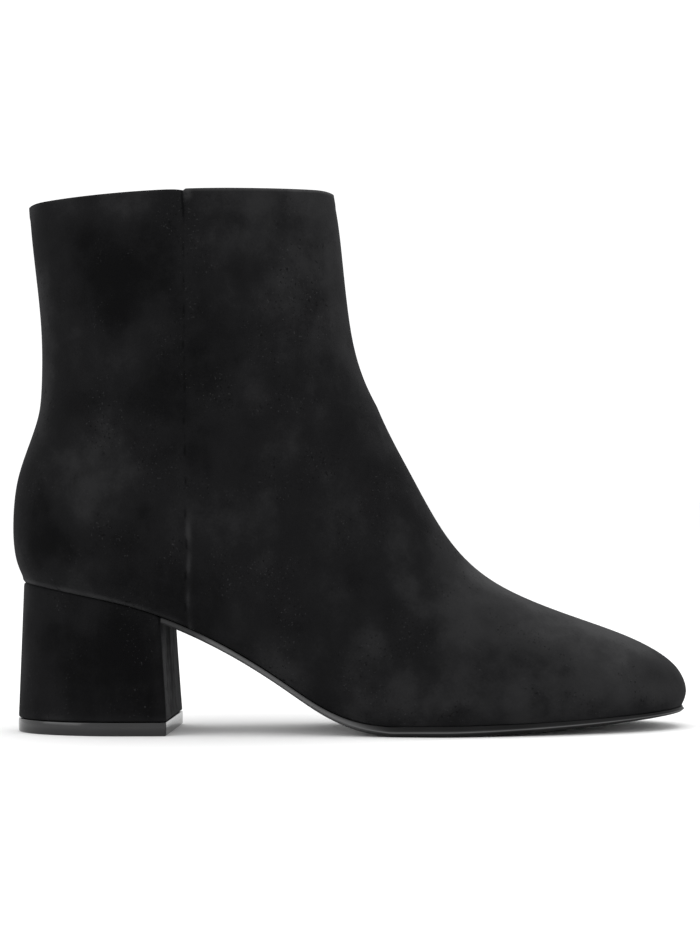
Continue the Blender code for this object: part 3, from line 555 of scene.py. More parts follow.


# Painted light: the first list of patches paints highlights on the toe, the instep, the collar and the
# counter; the second paints shade on the counter, beside the seam and under the toe's highlight.
boot_suede = suede(
    "boot suede",
    painted_highlights=[
        ((-0.092, -0.030, 0.094), (0.030, 0.040, 0.030), 0.30),
        ((0.074, -0.012, 0.050), (0.074, 0.060, 0.036), 1.00),
        ((0.102, -0.010, 0.031), (0.036, 0.052, 0.022), 0.60),
        ((-0.012, -0.030, 0.176), (0.040, 0.045, 0.050), 0.46),
        ((-0.020, -0.034, 0.088), (0.036, 0.040, 0.046), 0.20),
        ((0.113, -0.020, 0.0145), (0.013, 0.030, 0.007), 0.40),
        ((0.048, -0.040, 0.013), (0.090, 0.045, 0.018), 0.26),
        ((-0.030, -0.030, 0.197), (0.060, 0.045, 0.013), 0.22),
        ((-0.092, -0.030, 0.193), (0.045, 0.045, 0.011), 0.24),
        ((0.004, -0.036, 0.074), (0.080, 0.045, 0.060), 0.26),
        ((-0.020, -0.034, 0.026), (0.026, 0.040, 0.018), 0.30),
        ((-0.082, -0.034, 0.110), (0.040, 0.040, 0.020), 0.22),
        ((-0.116, -0.010, 0.124), (0.015, 0.050, 0.026), 0.30),
        ((0.106, -0.024, 0.017), (0.030, 0.045, 0.019), 0.24),
    ],
    painted_shade=[
        ((-0.086, -0.034, 0.167), (0.036, 0.040, 0.030), 0.62),
        ((-0.112, -0.020, 0.072), (0.020, 0.050, 0.024), 0.34),
        ((-0.095, -0.034, 0.118), (0.016, 0.040, 0.012), 0.12),
        ((-0.120, -0.010, 0.177), (0.014, 0.050, 0.020), 0.30),
        ((SEAM_X, -0.034, 0.140), (0.016, 0.030, 0.070), 0.16),
        ((-0.098, -0.034, 0.072), (0.034, 0.040, 0.012), 0.34),
    ],
    streaks=(55.0, 55.0, 30.0),
)

slot_level = float(level_at(SEAM_X, ZIP_BOTTOM_HEIGHT))
upper_levels = np.linspace(0.0, 1.0, 112) ** 1.35
upper_levels[np.argmin(np.abs(upper_levels - slot_level))] = slot_level
upper_levels = np.unique(np.concatenate([upper_levels, [0.972, 0.981, 0.99, 0.9955, 0.9982]]))
points, normals, sides, slot_columns = shell_grid(
    upper_levels, ZIP_SLOT / 2.0, (30, 7, 9, 9, 7, 62), (26, 9, 5, 9, 60)
)


def past_seam(x, z):
    """Distance in front of the seam's line, which wanders along its height by two small sines."""
    return x - SEAM_X - 0.00020 * np.sin(z * 210.0) - 0.00014 * np.sin(z * 467.0 + 1.0)


def seam_relief(x, z, level):
    """Front panel's folded edge: a soft step up and a long fade, a narrow valley before it that is
    deep at the collar, and a faint ridge near the sole."""
    ahead = past_seam(x, z)
    lap = SEAM_STEP * ease((ahead + 0.0004) / 0.0036) * (1.0 - ease(ahead / SEAM_FADE))
    collar, sole = ease((level - 0.74) / 0.20), 1.0 - ease((level - 0.10) / 0.16)
    patchy = 0.55 + 0.45 * np.sin(z * 390.0 + 2.0) * np.sin(z * 143.0)
    valley = -(0.00020 * collar * patchy + 0.00005) * hump(ahead, 0.00055)
    ridge = 0.00022 * sole * hump(ahead - 0.0010, 0.0008)
    return lap * (0.28 + 0.22 * collar) + valley + ridge


def stitch_relief(x, z):
    """Shallow furrow that the zip's stitching presses in, 2.2 mm out from the slot all round."""
    out = np.abs(x - SEAM_X) - ZIP_SLOT / 2.0
    below = ZIP_BOTTOM_HEIGHT - z
    away = np.where(below > 0.0, np.hypot(np.maximum(out, 0.0), below), out)
    return -0.00016 * hump(away - 0.0022, 0.0007)


def middle_dip(x, y):
    """How far the collar sinks towards the middle of the front and the back: a squared cosine of
    the distance from the middle line."""
    away = np.clip(np.abs(y - centre_y(x)) / DIP_REACH, 0.0, 1.0)
    return COLLAR_DIP * np.cos(0.5 * math.pi * away) ** 2


LASTED_END = station_x(0.25)
CORNER_RUN = 0.0013


def over_heel(x):
    """1 where the lasted edge lies over the heel, easing to 0 at the heel's breast."""
    return 1.0 - ease((x - LASTED_END + 0.004) / 0.010)


def painted_light_marks(x, z, sides, over_edge, below_rim):
    """Painted light on the upper: painted sheen up the front and back ridges, painted highlights on the roll
    over the heel and the fold of the collar, and along the seam painted shade, dark and broken at the top,
    with a painted highlight at the foot."""
    from_front, from_back = x.max(axis=1, keepdims=True) - x, x - x.min(axis=1, keepdims=True)
    painted_marks = 0.36 * hump(from_front, 0.0080) + 0.50 * hump(from_back, 0.0046)
    uneven = 0.75 + 0.25 * np.sin(x * 340.0) * np.sin(x * 127.0 + 0.8)
    painted_marks = painted_marks + 0.66 * uneven * over_heel(x) * hump(over_edge - 0.0009, 0.0008)
    painted_marks = painted_marks + (0.20 + 0.95 * (x > SEAM_X)) * hump(below_rim, 0.0007)
    ahead = past_seam(x, z)
    top = ease((0.020 - below_rim) / 0.008)
    dotted = ease((np.sin(z * 830.0) * np.sin(z * 293.0) - 0.15) / 0.3)
    foot = ease((0.050 - over_edge) / 0.020)
    broken = ease((np.sin(z * 610.0 + 1.3) * np.sin(z * 227.0) + 0.30) / 0.5)
    seam = -(0.60 * top * broken + 0.40 * (1.0 - top) * dotted) * hump(ahead, 0.0004)
    streaky = 0.7 + 0.3 * np.sin(z * 520.0 + 0.4)
    seam = seam + 0.60 * foot * streaky * hump(ahead - 0.0011, 0.0010)
    seam = seam + 0.80 * hump(ahead - 0.0020, 0.0015) * hump(below_rim - 0.0020, 0.0016)
    return painted_marks + np.where(sides == OUTER, seam, 0.0)


x, z = points[..., 0], points[..., 2]
level_grid = np.broadcast_to(upper_levels[:, None], x.shape)
over_edge, below_rim = z - points[:1, :, 2], points[-1:, :, 2] - z
# Painted light on the upper's face: sheen on its ridges, highlights on the roll and the collar's fold,
# highlight and shade along the seam.
upper_painted_light = painted_light_marks(x, z, sides, over_edge, below_rim)
relief = np.where(sides == OUTER, seam_relief(x, z, level_grid), stitch_relief(x, z))
relief = relief + 0.00016 * (1.0 - ease((below_rim - 0.0042) / 0.0010))
relief = relief + 0.00011 * np.sin(x * 92.0 + z * 61.0) * np.sin(z * 83.0 - x * 37.0 + points[..., 1] * 70.0)
relief = relief + 0.00030 * over_heel(x) * hump(over_edge - 0.0009, 0.0007)
points = points + normals * relief[..., None]
tuck = np.where(x < SEAM_X, np.exp(-np.abs(x - SEAM_X) / 0.0024), 1.0 - ease((x - SEAM_X) / CORNER_RUN))
points[..., 2] -= middle_dip(x, points[..., 1]) * ease((level_grid - 0.95) / 0.05)
points[..., 2] -= 0.00060 * tuck * (sides == OUTER) * ease((level_grid - 0.97) / 0.03)
slot_row = int(np.argmin(np.abs(upper_levels - slot_level)))
upper = build_mesh(
    "suede_upper", points, wrap=True,
    drop=in_slot(slot_row, slot_columns), painted_light=upper_painted_light,
)
face_outwards(upper, HOLLOW_MIDDLE)
give_wall(upper, SUEDE_THICKNESS, 0.00045)
upper.data.materials.append(boot_suede)
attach(upper, "boot")
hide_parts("upper")

# Lining
# Thin smooth leather glued inside the suede, cut back a little below the collar's turned edge and
# at the zip, and running down under the insole.

LINING_DEPTH = SUEDE_THICKNESS + 0.00012
LINING_THICKNESS = 0.0006
LINING_COLOURS = ((0.020, 0.0185, 0.0175, 1.0), (0.040, 0.037, 0.035, 1.0))


def smooth_leather(name, colours, grain):
    """Smooth dark leather: two browns in soft clouds, a pebbled grain and faint wear in the gloss."""
    made, shader, places = start_finish(name, colours[0][:3], Roughness=0.6, Specular_IOR_Level=0.4)
    cloud = places.noise(55.0, 4.0, 0.6)
    pebble = places.node("ShaderNodeTexVoronoi", {"feature": "SMOOTH_F1"}, {"Vector": places, "Scale": grain})
    fine = places.noise(grain * 2.3, 2.0)
    feed(
        shader,
        Base_Color=(cloud.span(0.35, 0.7) * 0.8 + fine * 0.2).mix(*colours),
        Roughness=0.5 + cloud * 0.22 + fine * 0.08,
        Normal=fine.bump(0.15, 0.00008, pebble.bump(0.35, 0.00012)),
    )
    return made


lining_leather = smooth_leather("lining leather", LINING_COLOURS, 900.0)
lining_levels = np.concatenate([np.linspace(0.012, 0.94, 60), np.linspace(0.95, 0.9925, 8)])
slot_start = slot_level + 0.004
lining_levels[np.argmin(np.abs(lining_levels - slot_start))] = slot_start
points, normals, sides, slot_columns = shell_grid(
    lining_levels, ZIP_SLOT / 2.0 + 0.0004, (16, 3, 2, 2, 3, 40), (16, 4, 4, 4, 38)
)
x = points[..., 0]
points = points - normals * LINING_DEPTH
points[..., 2] -= middle_dip(x, points[..., 1]) * ease((lining_levels[:, None] - 0.945) / 0.05)
lining_row = int(np.argmin(np.abs(lining_levels - slot_start)))
lining = build_mesh("lining", points, wrap=True, drop=in_slot(lining_row, slot_columns))
face_outwards(lining, HOLLOW_MIDDLE)
give_wall(lining, LINING_THICKNESS, 0.0002, 2)
lining.data.materials.append(lining_leather)
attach(lining, "boot")

# Insole
# The insole board with its leather sock: cut to the last's underside, laid on the lasted edge from
# the seat to the toe, and a little crowned where the foot stands on it.

INSOLE_THICKNESS = 0.0025
INSOLE_INSET = 0.0024
INSOLE_ROUND = 0.0009


def rim_at(turns, side, offset, rise):
    """Points at the feather edge, moved outwards in plan by offset and up by rise."""
    step = 0.002
    here = face_at(0.0, share_of_turn(turns), side)
    way = face_at(0.0, share_of_turn(np.minimum(turns + step, 1.0)), side) - face_at(
        0.0, share_of_turn(np.maximum(turns - step, 0.0)), side
    )
    normal = np.stack([-side * way[:, 1], side * way[:, 0]], axis=-1)
    normal[turns <= 0.0] = (-1.0, 0.0)
    normal[turns >= 1.0] = (1.0, 0.0)
    normal /= np.linalg.norm(normal, axis=1, keepdims=True)
    plan = here[:, :2] + normal * offset
    return np.column_stack([plan, feather_height(plan[:, 0]) + rise])


insole_turns = 0.6 * np.linspace(0.0, 1.0, 90) + 0.4 * blend(np.linspace(0.0, 1.0, 90))
outer_edge = rim_at(insole_turns, OUTER, -INSOLE_INSET, 0.0)[:, None]
inner_edge = rim_at(insole_turns, INNER, -INSOLE_INSET, 0.0)[:, None]
across = blend(np.linspace(0.0, 1.0, 26))[None, :, None]
low = outer_edge + (inner_edge - outer_edge) * across
span = np.linalg.norm(inner_edge - outer_edge, axis=-1, keepdims=True)
from_edge = np.minimum(across, 1.0 - across) * span
bevel = INSOLE_ROUND * (1.0 - np.sqrt(1.0 - np.clip(1.0 - from_edge / INSOLE_ROUND, 0.0, 1.0) ** 2))
rise = INSOLE_THICKNESS - bevel * np.clip(span / 0.01, 0.0, 1.0)
high = low + rise * np.array([0.0, 0.0, 1.0])
insole = build_mesh("insole_sock", np.concatenate([high, low[:, ::-1]], axis=1), wrap=True)
insole.data.materials.append(smooth_leather("sock leather", LINING_COLOURS, 700.0))
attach(insole, "boot")
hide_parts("insole")

# Outsole
# Black rubber sole unit, glued to the lasted upper from the heel's breast to the toe. Its edge slopes out to
# a ridge low on its side, painted greyer as a highlight, and is cut back under it; along the arch the whole
# edge is painted grey as a reflection of the floor.

BREAST_BASE_X, BREAST_TOP_X = station_x(0.239), station_x(0.230)
BREAST_TURN = math.radians(3.0)
RUBBER_COLOURS = ((0.003, 0.003, 0.0032, 1.0), (0.008, 0.008, 0.0083, 1.0))
PAINTED_EDGE_LIGHT_COLOUR = (0.105, 0.105, 0.106, 1.0)


def breast_turn(x, side, clearance):
    """Turn at which the feather edge on one side meets the heel's breast, moved by a clearance."""
    reach = x + side * BALL_WIDTH * float(HEEL(0.0)) * math.tan(BREAST_TURN)
    return float(turn_at(0.0, reach + clearance))


def rubber(name, colours, roughness, gloss, ribs):
    """Satin rubber: two blacks in faint clouds, greyer by a painted highlight and a painted reflection where
    the mesh's attribute says, fine moulding scratches along the edge, and cross ribs pressed into the
    underside alone."""
    made, shader, places = start_finish(name, colours[0][:3], Roughness=roughness, Specular_IOR_Level=gloss)
    cloud = places.noise(70.0, 3.0)
    scratch = places.scaled((90.0, 90.0, 2400.0)).noise(1.0, 2.0)
    down = places.node("ShaderNodeNewGeometry", {}, {}, output="Normal").axis("Z").span(-0.75, -0.9)
    along = places.scaled((ribs, 0.0, 0.0))
    rib = places.node("ShaderNodeTexWave", {"wave_profile": "SAW"}, {"Vector": along, "Scale": 1.0})
    # Painted light: the attribute mixes in a grey that stands for a highlight on the ridge and the floor's
    # reflection along the arch.
    wear_and_painted_light = places.node("ShaderNodeAttribute", {"attribute_name": "painted_light"}, {}, output="Fac")
    black = (cloud.span(0.3, 0.7) * 0.7 + scratch * 0.3).mix(*colours)
    feed(
        shader,
        Base_Color=(wear_and_painted_light * (0.75 + cloud * 0.5)).mix(black, PAINTED_EDGE_LIGHT_COLOUR),
        Roughness=roughness - 0.06 + cloud * 0.10 + scratch * 0.06,
        Normal=scratch.bump(0.10, 0.00006, (rib * down).bump(0.5, 0.0005)),
    )
    return made


sole_profile = np.array([
    # out from the feather edge, part of the sole's thickness, painted highlight on the ridge, painted floor
    # reflection in the arch
    (-0.0030, 1.00, 0.00, 0.0), (0.00008, 1.00, 0.00, 0.0), (0.00026, 0.98, 0.00, 0.1),
    (0.00036, 0.92, 0.00, 0.4), (0.00052, 0.76, 0.00, 0.8), (0.00066, 0.62, 0.02, 1.0),
    (0.00082, 0.52, 0.35, 1.0), (0.00090, 0.46, 1.00, 1.0), (0.00084, 0.39, 0.20, 0.9),
    (0.00056, 0.28, 0.00, 0.7), (0.00024, 0.15, 0.00, 0.4), (0.00004, 0.06, 0.00, 0.2),
    (-0.00014, 0.01, 0.00, 0.0), (-0.0006, 0.00, 0.00, 0.0), (-0.0045, 0.00, 0.00, 0.0),
])
ARCH_END = station_x(0.46)
LIP_RISE = 0.0002
edges = {}
for side in (OUTER, INNER):
    start = breast_turn(BREAST_TOP_X, side, 2.0 * FIT_GAP)
    turns = start + (1.0 - start) * np.linspace(0.0, 1.0, 130) ** 0.93
    rings = []
    for out, part, ridge_highlight, arch_reflection in sole_profile:
        ring = rim_at(turns, side, out, 0.0)
        ring[:, 2] = tread_height(ring[:, 0]) + part * sole_thickness(ring[:, 0])
        arch = 1.0 - ease((ring[:, 0] - ARCH_END) / 0.030)
        ring[:, 2] += (part > 0.9) * LIP_RISE * (1.0 - arch)
        # The arch's painted reflection fades towards the heel's breast.
        faded_reflection = arch_reflection * (0.25 + 0.75 * ease((ring[:, 0] - station_x(0.265)) / 0.012))
        rings.append(np.column_stack([ring, ridge_highlight + (faded_reflection - ridge_highlight) * arch]))
    edges[side] = np.stack(rings, axis=1)
section = np.concatenate([edges[OUTER], edges[INNER][:, ::-1]], axis=1)
closing = np.repeat(section[:1].mean(axis=1, keepdims=True), section.shape[1], axis=1)
whole = np.concatenate([closing, section])
outsole = build_mesh("outsole_unit", whole[..., :3], wrap=True, sharp=50.0, painted_light=whole[..., 3])
outsole.data.materials.append(rubber("sole rubber", RUBBER_COLOURS, 0.45, 0.10, 1500.0))
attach(outsole, "boot")
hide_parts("outsole")

# Heel
# Moulded block covered in the same suede. The cover wraps round the sides and is turned in at the
# top, and a separate flap is glued over the flat breast, a little inside its two soft corners.

LIFT_THICKNESS = 0.0050
HEEL_BASE_WIDTH = 0.0530
HEEL_HOLLOW = 0.0010
HEEL_BASE_BACK = station_x(0.0064)
BREAST_CORNER = 0.0016
SEAT_POINTS = 160
SIDE_POINTS, CORNER_POINTS, BREAST_POINTS = 56, 7, 32


def heel_side(height, side):
    """Side of the block at a height, 0 at the lift and 1 at the seat: the base outline and the
    seat under the upper joined by straight lines, drawn in by a parabola between them."""
    end = breast_turn(BREAST_TOP_X, side, 0.0)
    seat = rim_at(end * np.linspace(0.0, 1.0, SEAT_POINTS), side, FIT_GAP, -FIT_GAP)
    reach = (seat[:, 0] - seat[0, 0]) / (seat[-1, 0] - seat[0, 0])
    half = HEEL_BASE_WIDTH / 2.0
    corner = BREAST_BASE_X + side * half * math.tan(BREAST_TURN)
    base_x = HEEL_BASE_BACK + reach * (corner - HEEL_BASE_BACK)
    base_y = centre_y(base_x) + side * half * end_cap(reach, 0.72, 2.0)
    base = np.column_stack([base_x, base_y, np.full(SEAT_POINTS, LIFT_THICKNESS + FIT_GAP)])
    points = base + (seat - base) * height
    points[:, 1] -= side * HEEL_HOLLOW * 4.0 * height * (1.0 - height) * end_cap(reach, 0.3, 2.0)
    return points


def heel_ring(height, radius, grow=0.0):
    """Ring round the block: both sides by even arc length, the breast straight between them, and
    each corner a quadratic curve. grow moves it outwards in plan."""
    stretches = []
    corners = {side: heel_side(height, side) for side in (OUTER, INNER)}
    breast = corners[INNER][-1] - corners[OUTER][-1]
    width = np.linalg.norm(breast)
    for side in (OUTER, INNER):
        line = corners[side]
        length = np.concatenate([[0.0], np.cumsum(np.linalg.norm(np.diff(line, axis=0), axis=1))])
        wanted = (length[-1] - radius) * np.linspace(0.0, 1.0, SIDE_POINTS)
        run = np.column_stack([np.interp(wanted, length, line[:, k]) for k in range(3)])
        tip, inwards = line[-1], breast / width * -side
        t = np.linspace(0.0, 1.0, CORNER_POINTS + 1)[1:, None]
        bend = (1 - t) ** 2 * run[-1] + 2 * t * (1 - t) * tip + t**2 * (tip + inwards * radius)
        stretches.append(np.concatenate([run, bend]))
    t = np.linspace(0.0, 1.0, BREAST_POINTS + 2)[1:-1, None]
    across = stretches[0][-1] + (stretches[1][-1] - stretches[0][-1]) * t
    ring = np.concatenate([stretches[0], across, stretches[1][:0:-1]])
    middle = ring.mean(axis=0)
    way = np.roll(ring, -1, axis=0) - np.roll(ring, 1, axis=0)
    out = np.column_stack([way[:, 1], -way[:, 0]])
    out *= np.sign(((ring - middle)[:, :2] * out).sum())
    out /= np.linalg.norm(out, axis=1, keepdims=True)
    ring[:, :2] += out * grow
    return ring


def capped(rings):
    """Rings closed by a first and a last row, each drawn to the middle of the ring beside it."""
    bottom, top = (np.broadcast_to(end.mean(axis=0), end.shape)[None] for end in (rings[0], rings[-1]))
    return np.concatenate([bottom, rings, top])


heel_heights = np.concatenate([
    [0.0, 0.006, 0.014, 0.025], np.linspace(0.04, 0.96, 40), [0.972, 0.984, 0.993, 1.0],
])
heel_grow = -0.0006 * (1.0 - end_cap(heel_heights, 0.016, 2.0)) - 0.0007 * (
    1.0 - end_cap(1.0 - heel_heights, 0.022, 2.0)
)
rings = np.stack([heel_ring(h, BREAST_CORNER, g) for h, g in zip(heel_heights, heel_grow)])
flap_first = SIDE_POINTS + CORNER_POINTS
flap_last = flap_first + BREAST_POINTS
inner_share = np.linspace(0.0, 1.0, BREAST_POINTS + 2)[1:-1]
flap_window = ease((inner_share - 0.035) / 0.02) * ease((0.965 - inner_share) / 0.02)
flap_rows = ease((heel_heights - 0.012) / 0.02)
ripple = 0.00012 * np.sin(inner_share * 13.0 + 0.7) + 0.00007 * np.sin(inner_share * 41.0)
rings[:, flap_first:flap_last, 0] += flap_rows[:, None] * flap_window * (0.00030 + ripple)
from_back = rings[..., 0] - rings[..., 0].min(axis=1, keepdims=True)
# Painted light on the heel's cover: painted sheen along its back edge, paler towards the lift, and over the
# breast flap painted sheen in wavering streaks with a band of painted shade.
heel_painted_light = 0.34 * hump(from_back, 0.0024) + 0.22 * (1.0 - ease(heel_heights / 0.09))[:, None]
tall, broken = heel_heights[:, None], np.sin(heel_heights[:, None] * 37.0 + inner_share * 17.0)
breast_painted_sheen = 0.75 * hump(inner_share - 0.06, 0.045) * hump(tall - 0.42, 0.24)
breast_painted_sheen = breast_painted_sheen - 0.60 * hump(inner_share - 0.36 - 0.08 * tall, 0.08)
wavering = np.sin(inner_share * 17.0 + 2.0 * np.sin(tall * 5.0))
wavering = wavering + 0.6 * np.sin(inner_share * 43.0 - 3.0 * tall)
breast_painted_sheen = breast_painted_sheen + 0.46 * wavering * (0.6 + 0.4 * broken)
heel_painted_light[:, flap_first:flap_last] += breast_painted_sheen + 1.25
heel = build_mesh(
    "heel_cover", capped(rings), wrap=True, sharp=60.0,
    painted_light=np.concatenate([heel_painted_light[:1], heel_painted_light, heel_painted_light[-1:]]),
)
# Painted light on the heel: a painted highlight at the breast's outer corner and painted shade over the
# middle of the outer side.
heel.data.materials.append(suede(
    "heel suede",
    painted_highlights=[((-0.062, -0.022, 0.034), (0.006, 0.004, 0.016), 0.30)],
    painted_shade=[((-0.092, -0.030, 0.034), (0.040, 0.034, 0.046), 0.34)],
    streaks=(75.0, 75.0, 30.0),
))
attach(heel, "boot")
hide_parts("heel")

# Top lift
# Hard rubber lift nailed and glued under the heel and trimmed flush with it. Its trimmed edge is
# smooth enough to mirror the studio at a low angle.

LIFT_COLOURS = ((0.0035, 0.0035, 0.0039, 1.0), (0.0085, 0.0085, 0.0091, 1.0))
LIFT_CORNER = 0.0007
lift_steps = np.array([
    # height, how far the edge stands out
    (0.0, -0.00060), (0.00008, -0.00030), (0.00028, -0.00010), (0.00060, 0.0), (0.0025, 0.00005),
    (0.00455, 0.00005), (0.00482, -0.00004), (0.0050, -0.00025),
])
rings = np.stack([heel_ring(0.0, LIFT_CORNER, grow) for grow in lift_steps[:, 1]])
rings[..., 2] = lift_steps[:, :1]
lift = build_mesh("heel_lift", capped(rings), wrap=True, sharp=50.0)
lift.data.materials.append(rubber("lift rubber", LIFT_COLOURS, 0.15, 0.5, 1300.0))
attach(lift, "boot")
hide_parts("top_lift")

# Zip tapes
# Two woven polyester tapes, sewn behind the slot's turned edges. They run from under the slot's
# end to the collar and part round the slider's neck.

UPPER_WALL = 0.0018
TAPE_DEPTH = UPPER_WALL + FIT_GAP
TAPE_THICKNESS, TAPE_WIDTH = 0.0008, 0.0110
TAPE_SIDES = (("front", 1.0), ("rear", -1.0))
SLIDER_DROP, SLIDER_LENGTH, SLIDER_NECK = 0.0100, 0.0120, 0.0022
COLLAR_AT_ZIP = float(face_at(1.0, share_at(1.0, SEAM_X), INNER)[2])


def wall_frame(level, x, depth):
    """Point under the inner side's face, with unit directions across, up and out at it."""
    level, x = np.broadcast_arrays(np.asarray(level, float), np.asarray(x, float))
    step = 0.002
    here = face_at(level, share_at(level, x), INNER)
    above, below = np.minimum(level + step, 1.0), np.maximum(level - step, 0.0)
    rising = face_at(above, share_at(above, x), INNER) - face_at(below, share_at(below, x), INNER)
    ahead, behind = x + step, x - step
    across = face_at(level, share_at(level, ahead), INNER) - face_at(level, share_at(level, behind), INNER)
    out = np.cross(rising, across)
    out /= np.linalg.norm(out, axis=-1, keepdims=True)
    rising /= np.linalg.norm(rising, axis=-1, keepdims=True)
    return here - out * np.asarray(depth, float)[..., None], np.cross(out, rising), rising, out


def woven_tape(name):
    """Twill tape: two threads of black crossing in fine slanted ribs, dull and slightly fuzzy."""
    made, shader, places = start_finish(
        name, (0.014, 0.014, 0.015), Roughness=0.9, Specular_IOR_Level=0.25,
        Sheen_Weight=0.2, Sheen_Roughness=0.4,
    )
    warp, twill = (
        places.node(
            "ShaderNodeTexWave", {"bands_direction": way}, {"Vector": places.scaled(kept), "Scale": scale}
        )
        for way, kept, scale in (("X", (1.0, 0.0, 0.0), 420.0), ("DIAGONAL", (1.0, 0.0, 1.0), 300.0))
    )
    fuzz = places.noise(1600.0, 2.0)
    weave = warp * 0.5 + twill * 0.5
    feed(
        shader,
        Base_Color=(weave * 0.7 + fuzz * 0.3).mix((0.007, 0.007, 0.0075, 1.0), (0.026, 0.026, 0.028, 1.0)),
        Roughness=0.95 - weave * 0.15,
        Normal=weave.bump(0.5, 0.00015, fuzz.bump(0.2, 0.0001)),
    )
    return made


tape_cloth = woven_tape("zip tape")
parting = float(level_at(SEAM_X, COLLAR_AT_ZIP - SLIDER_DROP - 0.20 * SLIDER_LENGTH))
neck = float(level_at(SEAM_X, COLLAR_AT_ZIP - SLIDER_DROP + 0.17 * SLIDER_LENGTH))
tape_start = float(level_at(SEAM_X, ZIP_BOTTOM_HEIGHT - 0.0060))
tape_end = float(level_at(SEAM_X, COLLAR_AT_ZIP - 0.0006))
tape_levels = np.concatenate([
    np.linspace(tape_start, parting, 60, endpoint=False), np.linspace(parting, tape_end, 26),
])
opening = ease((tape_levels - parting) / (neck - parting))
tape_inner = FIT_GAP / 2.0 + opening * (SLIDER_NECK / 2.0 + FIT_GAP)
tape_across = np.array([0.0, 0.06, 0.16, 0.3, 0.44, 0.58, 0.72, 0.86, 1.0])
for name, way in TAPE_SIDES:
    offsets = way * (tape_inner[:, None] + (TAPE_WIDTH - tape_inner[:, None]) * tape_across)
    points, _, _, _ = wall_frame(tape_levels[:, None], SEAM_X + offsets, np.full(offsets.shape, TAPE_DEPTH))
    tape = build_mesh(f"tape_{name}", points)
    face_outwards(tape, (SEAM_X, 0.0, 0.12))
    give_wall(tape, TAPE_THICKNESS, 0.0002, 2)
    tape.data.materials.append(tape_cloth)
    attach(tape, "boot")
    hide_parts(f"zip_tape_{name}")

# Coil
# Nylon monofilament wound into two spirals and sewn one to each tape. Their heads hook into each
# other at the middle, a tooth every 1.2 mm, and a row of thread crosses each spiral.

COIL_PITCH = 0.0012
COIL_FLOOR = TAPE_DEPTH - FIT_GAP / 2.0
TOOTH = (0.00165, 0.00041, 0.00076)
TOOTH_OFFSET, TOOTH_RISE = 0.00135, 0.00080
THREAD = (0.00030, 0.00052, 0.00022)
THREAD_OFFSET, THREAD_RISE = 0.0022, 0.00158
STOP_CLEAR, STOP_LENGTH = 0.0012, 0.0032


def squarish(value, power):
    """A sine or cosine raised to a power with its sign kept: the lower the power, the squarer."""
    return np.sign(value) * np.abs(value) ** power


def bead(half, power=0.7, rows=6, columns=9):
    """Closed rounded block: a sphere's sine and cosine raised to a power and stretched to three
    half sizes (across, up, out)."""
    u = np.linspace(0.0, math.pi, rows)[:, None]
    v = np.linspace(0.0, 2.0 * math.pi, columns, endpoint=False)[None, :]
    across, round_u = squarish(np.cos(u), power) + 0.0 * v, squarish(np.sin(u), power)
    up, out = round_u * squarish(np.cos(v), power), round_u * squarish(np.sin(v), power)
    return np.stack([across * half[0], up * half[1], out * half[2]], axis=-1)


def lay_copies(name, shape, origin, axes):
    """Copies of a shape, one at each origin: the sum of its three measures along the three axes."""
    turned = (shape[None, ..., None] * np.stack(axes, axis=1)[:, None, None]).sum(axis=-2)
    return build_mesh(name, origin[:, None, None] + turned, wrap=True)


def set_beads(name, shape, level, offset, depth, lean=0.0):
    """Copies of a shape laid on the inner wall, one for each level, at an offset across and a
    depth. lean turns each one in the wall's plane."""
    origin, across, rising, out = wall_frame(level, SEAM_X, np.full(level.shape, depth))
    spin = np.broadcast_to(np.asarray(lean, float), level.shape)[:, None]
    first = across * np.cos(spin) + rising * np.sin(spin)
    second = rising * np.cos(spin) - across * np.sin(spin)
    origin = origin + across * np.broadcast_to(np.asarray(offset, float), level.shape)[:, None]
    return lay_copies(name, shape, origin, (first, second, out))


coil_bottom = ZIP_BOTTOM_HEIGHT + STOP_CLEAR + STOP_LENGTH + FIT_GAP
coil_top = COLLAR_AT_ZIP - SLIDER_DROP + 0.10 * SLIDER_LENGTH
nylon, nylon_shader, nylon_places = start_finish(
    "coil nylon", (0.018, 0.018, 0.019), Roughness=0.34, Specular_IOR_Level=0.5
)
drawn = nylon_places.noise(600.0, 2.0)
feed(
    nylon_shader,
    Base_Color=drawn.mix((0.012, 0.012, 0.013, 1.0), (0.026, 0.026, 0.027, 1.0)),
    Roughness=0.28 + drawn * 0.16,
    Normal=nylon_places.scaled((300.0, 1500.0, 1500.0)).noise(1.0, 1.0).bump(0.12, 0.00004),
)
teeth_heights = np.arange(coil_bottom + COIL_PITCH / 2.0, coil_top, COIL_PITCH)
for name, way, shift in (("front", 1.0, 0.0), ("rear", -1.0, 0.5)):
    levels = level_at(SEAM_X, teeth_heights + shift * COIL_PITCH)
    teeth = set_beads(
        f"coil_{name}", bead(TOOTH), levels, way * TOOTH_OFFSET, COIL_FLOOR - TOOTH_RISE, way * 0.16
    )
    teeth.data.materials.append(nylon)
    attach(teeth, "boot")
    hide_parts("zip_coil")
    thread = set_beads(
        f"coil_thread_{name}", bead(THREAD, 0.9, 5, 7), levels, way * THREAD_OFFSET,
        COIL_FLOOR - THREAD_RISE, -way * 0.35,
    )
    thread.data.materials.append(tape_cloth)
    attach(thread, "boot")

# Stops
# Small clips of plated metal, crimped on: one over the coil's lower end, and one on each tape just
# below the collar, where they stop the slider.

STOP_DEPTH = COIL_FLOOR - 0.00105
TOP_STOP_HALF = (0.00105, 0.0011, 0.0009)


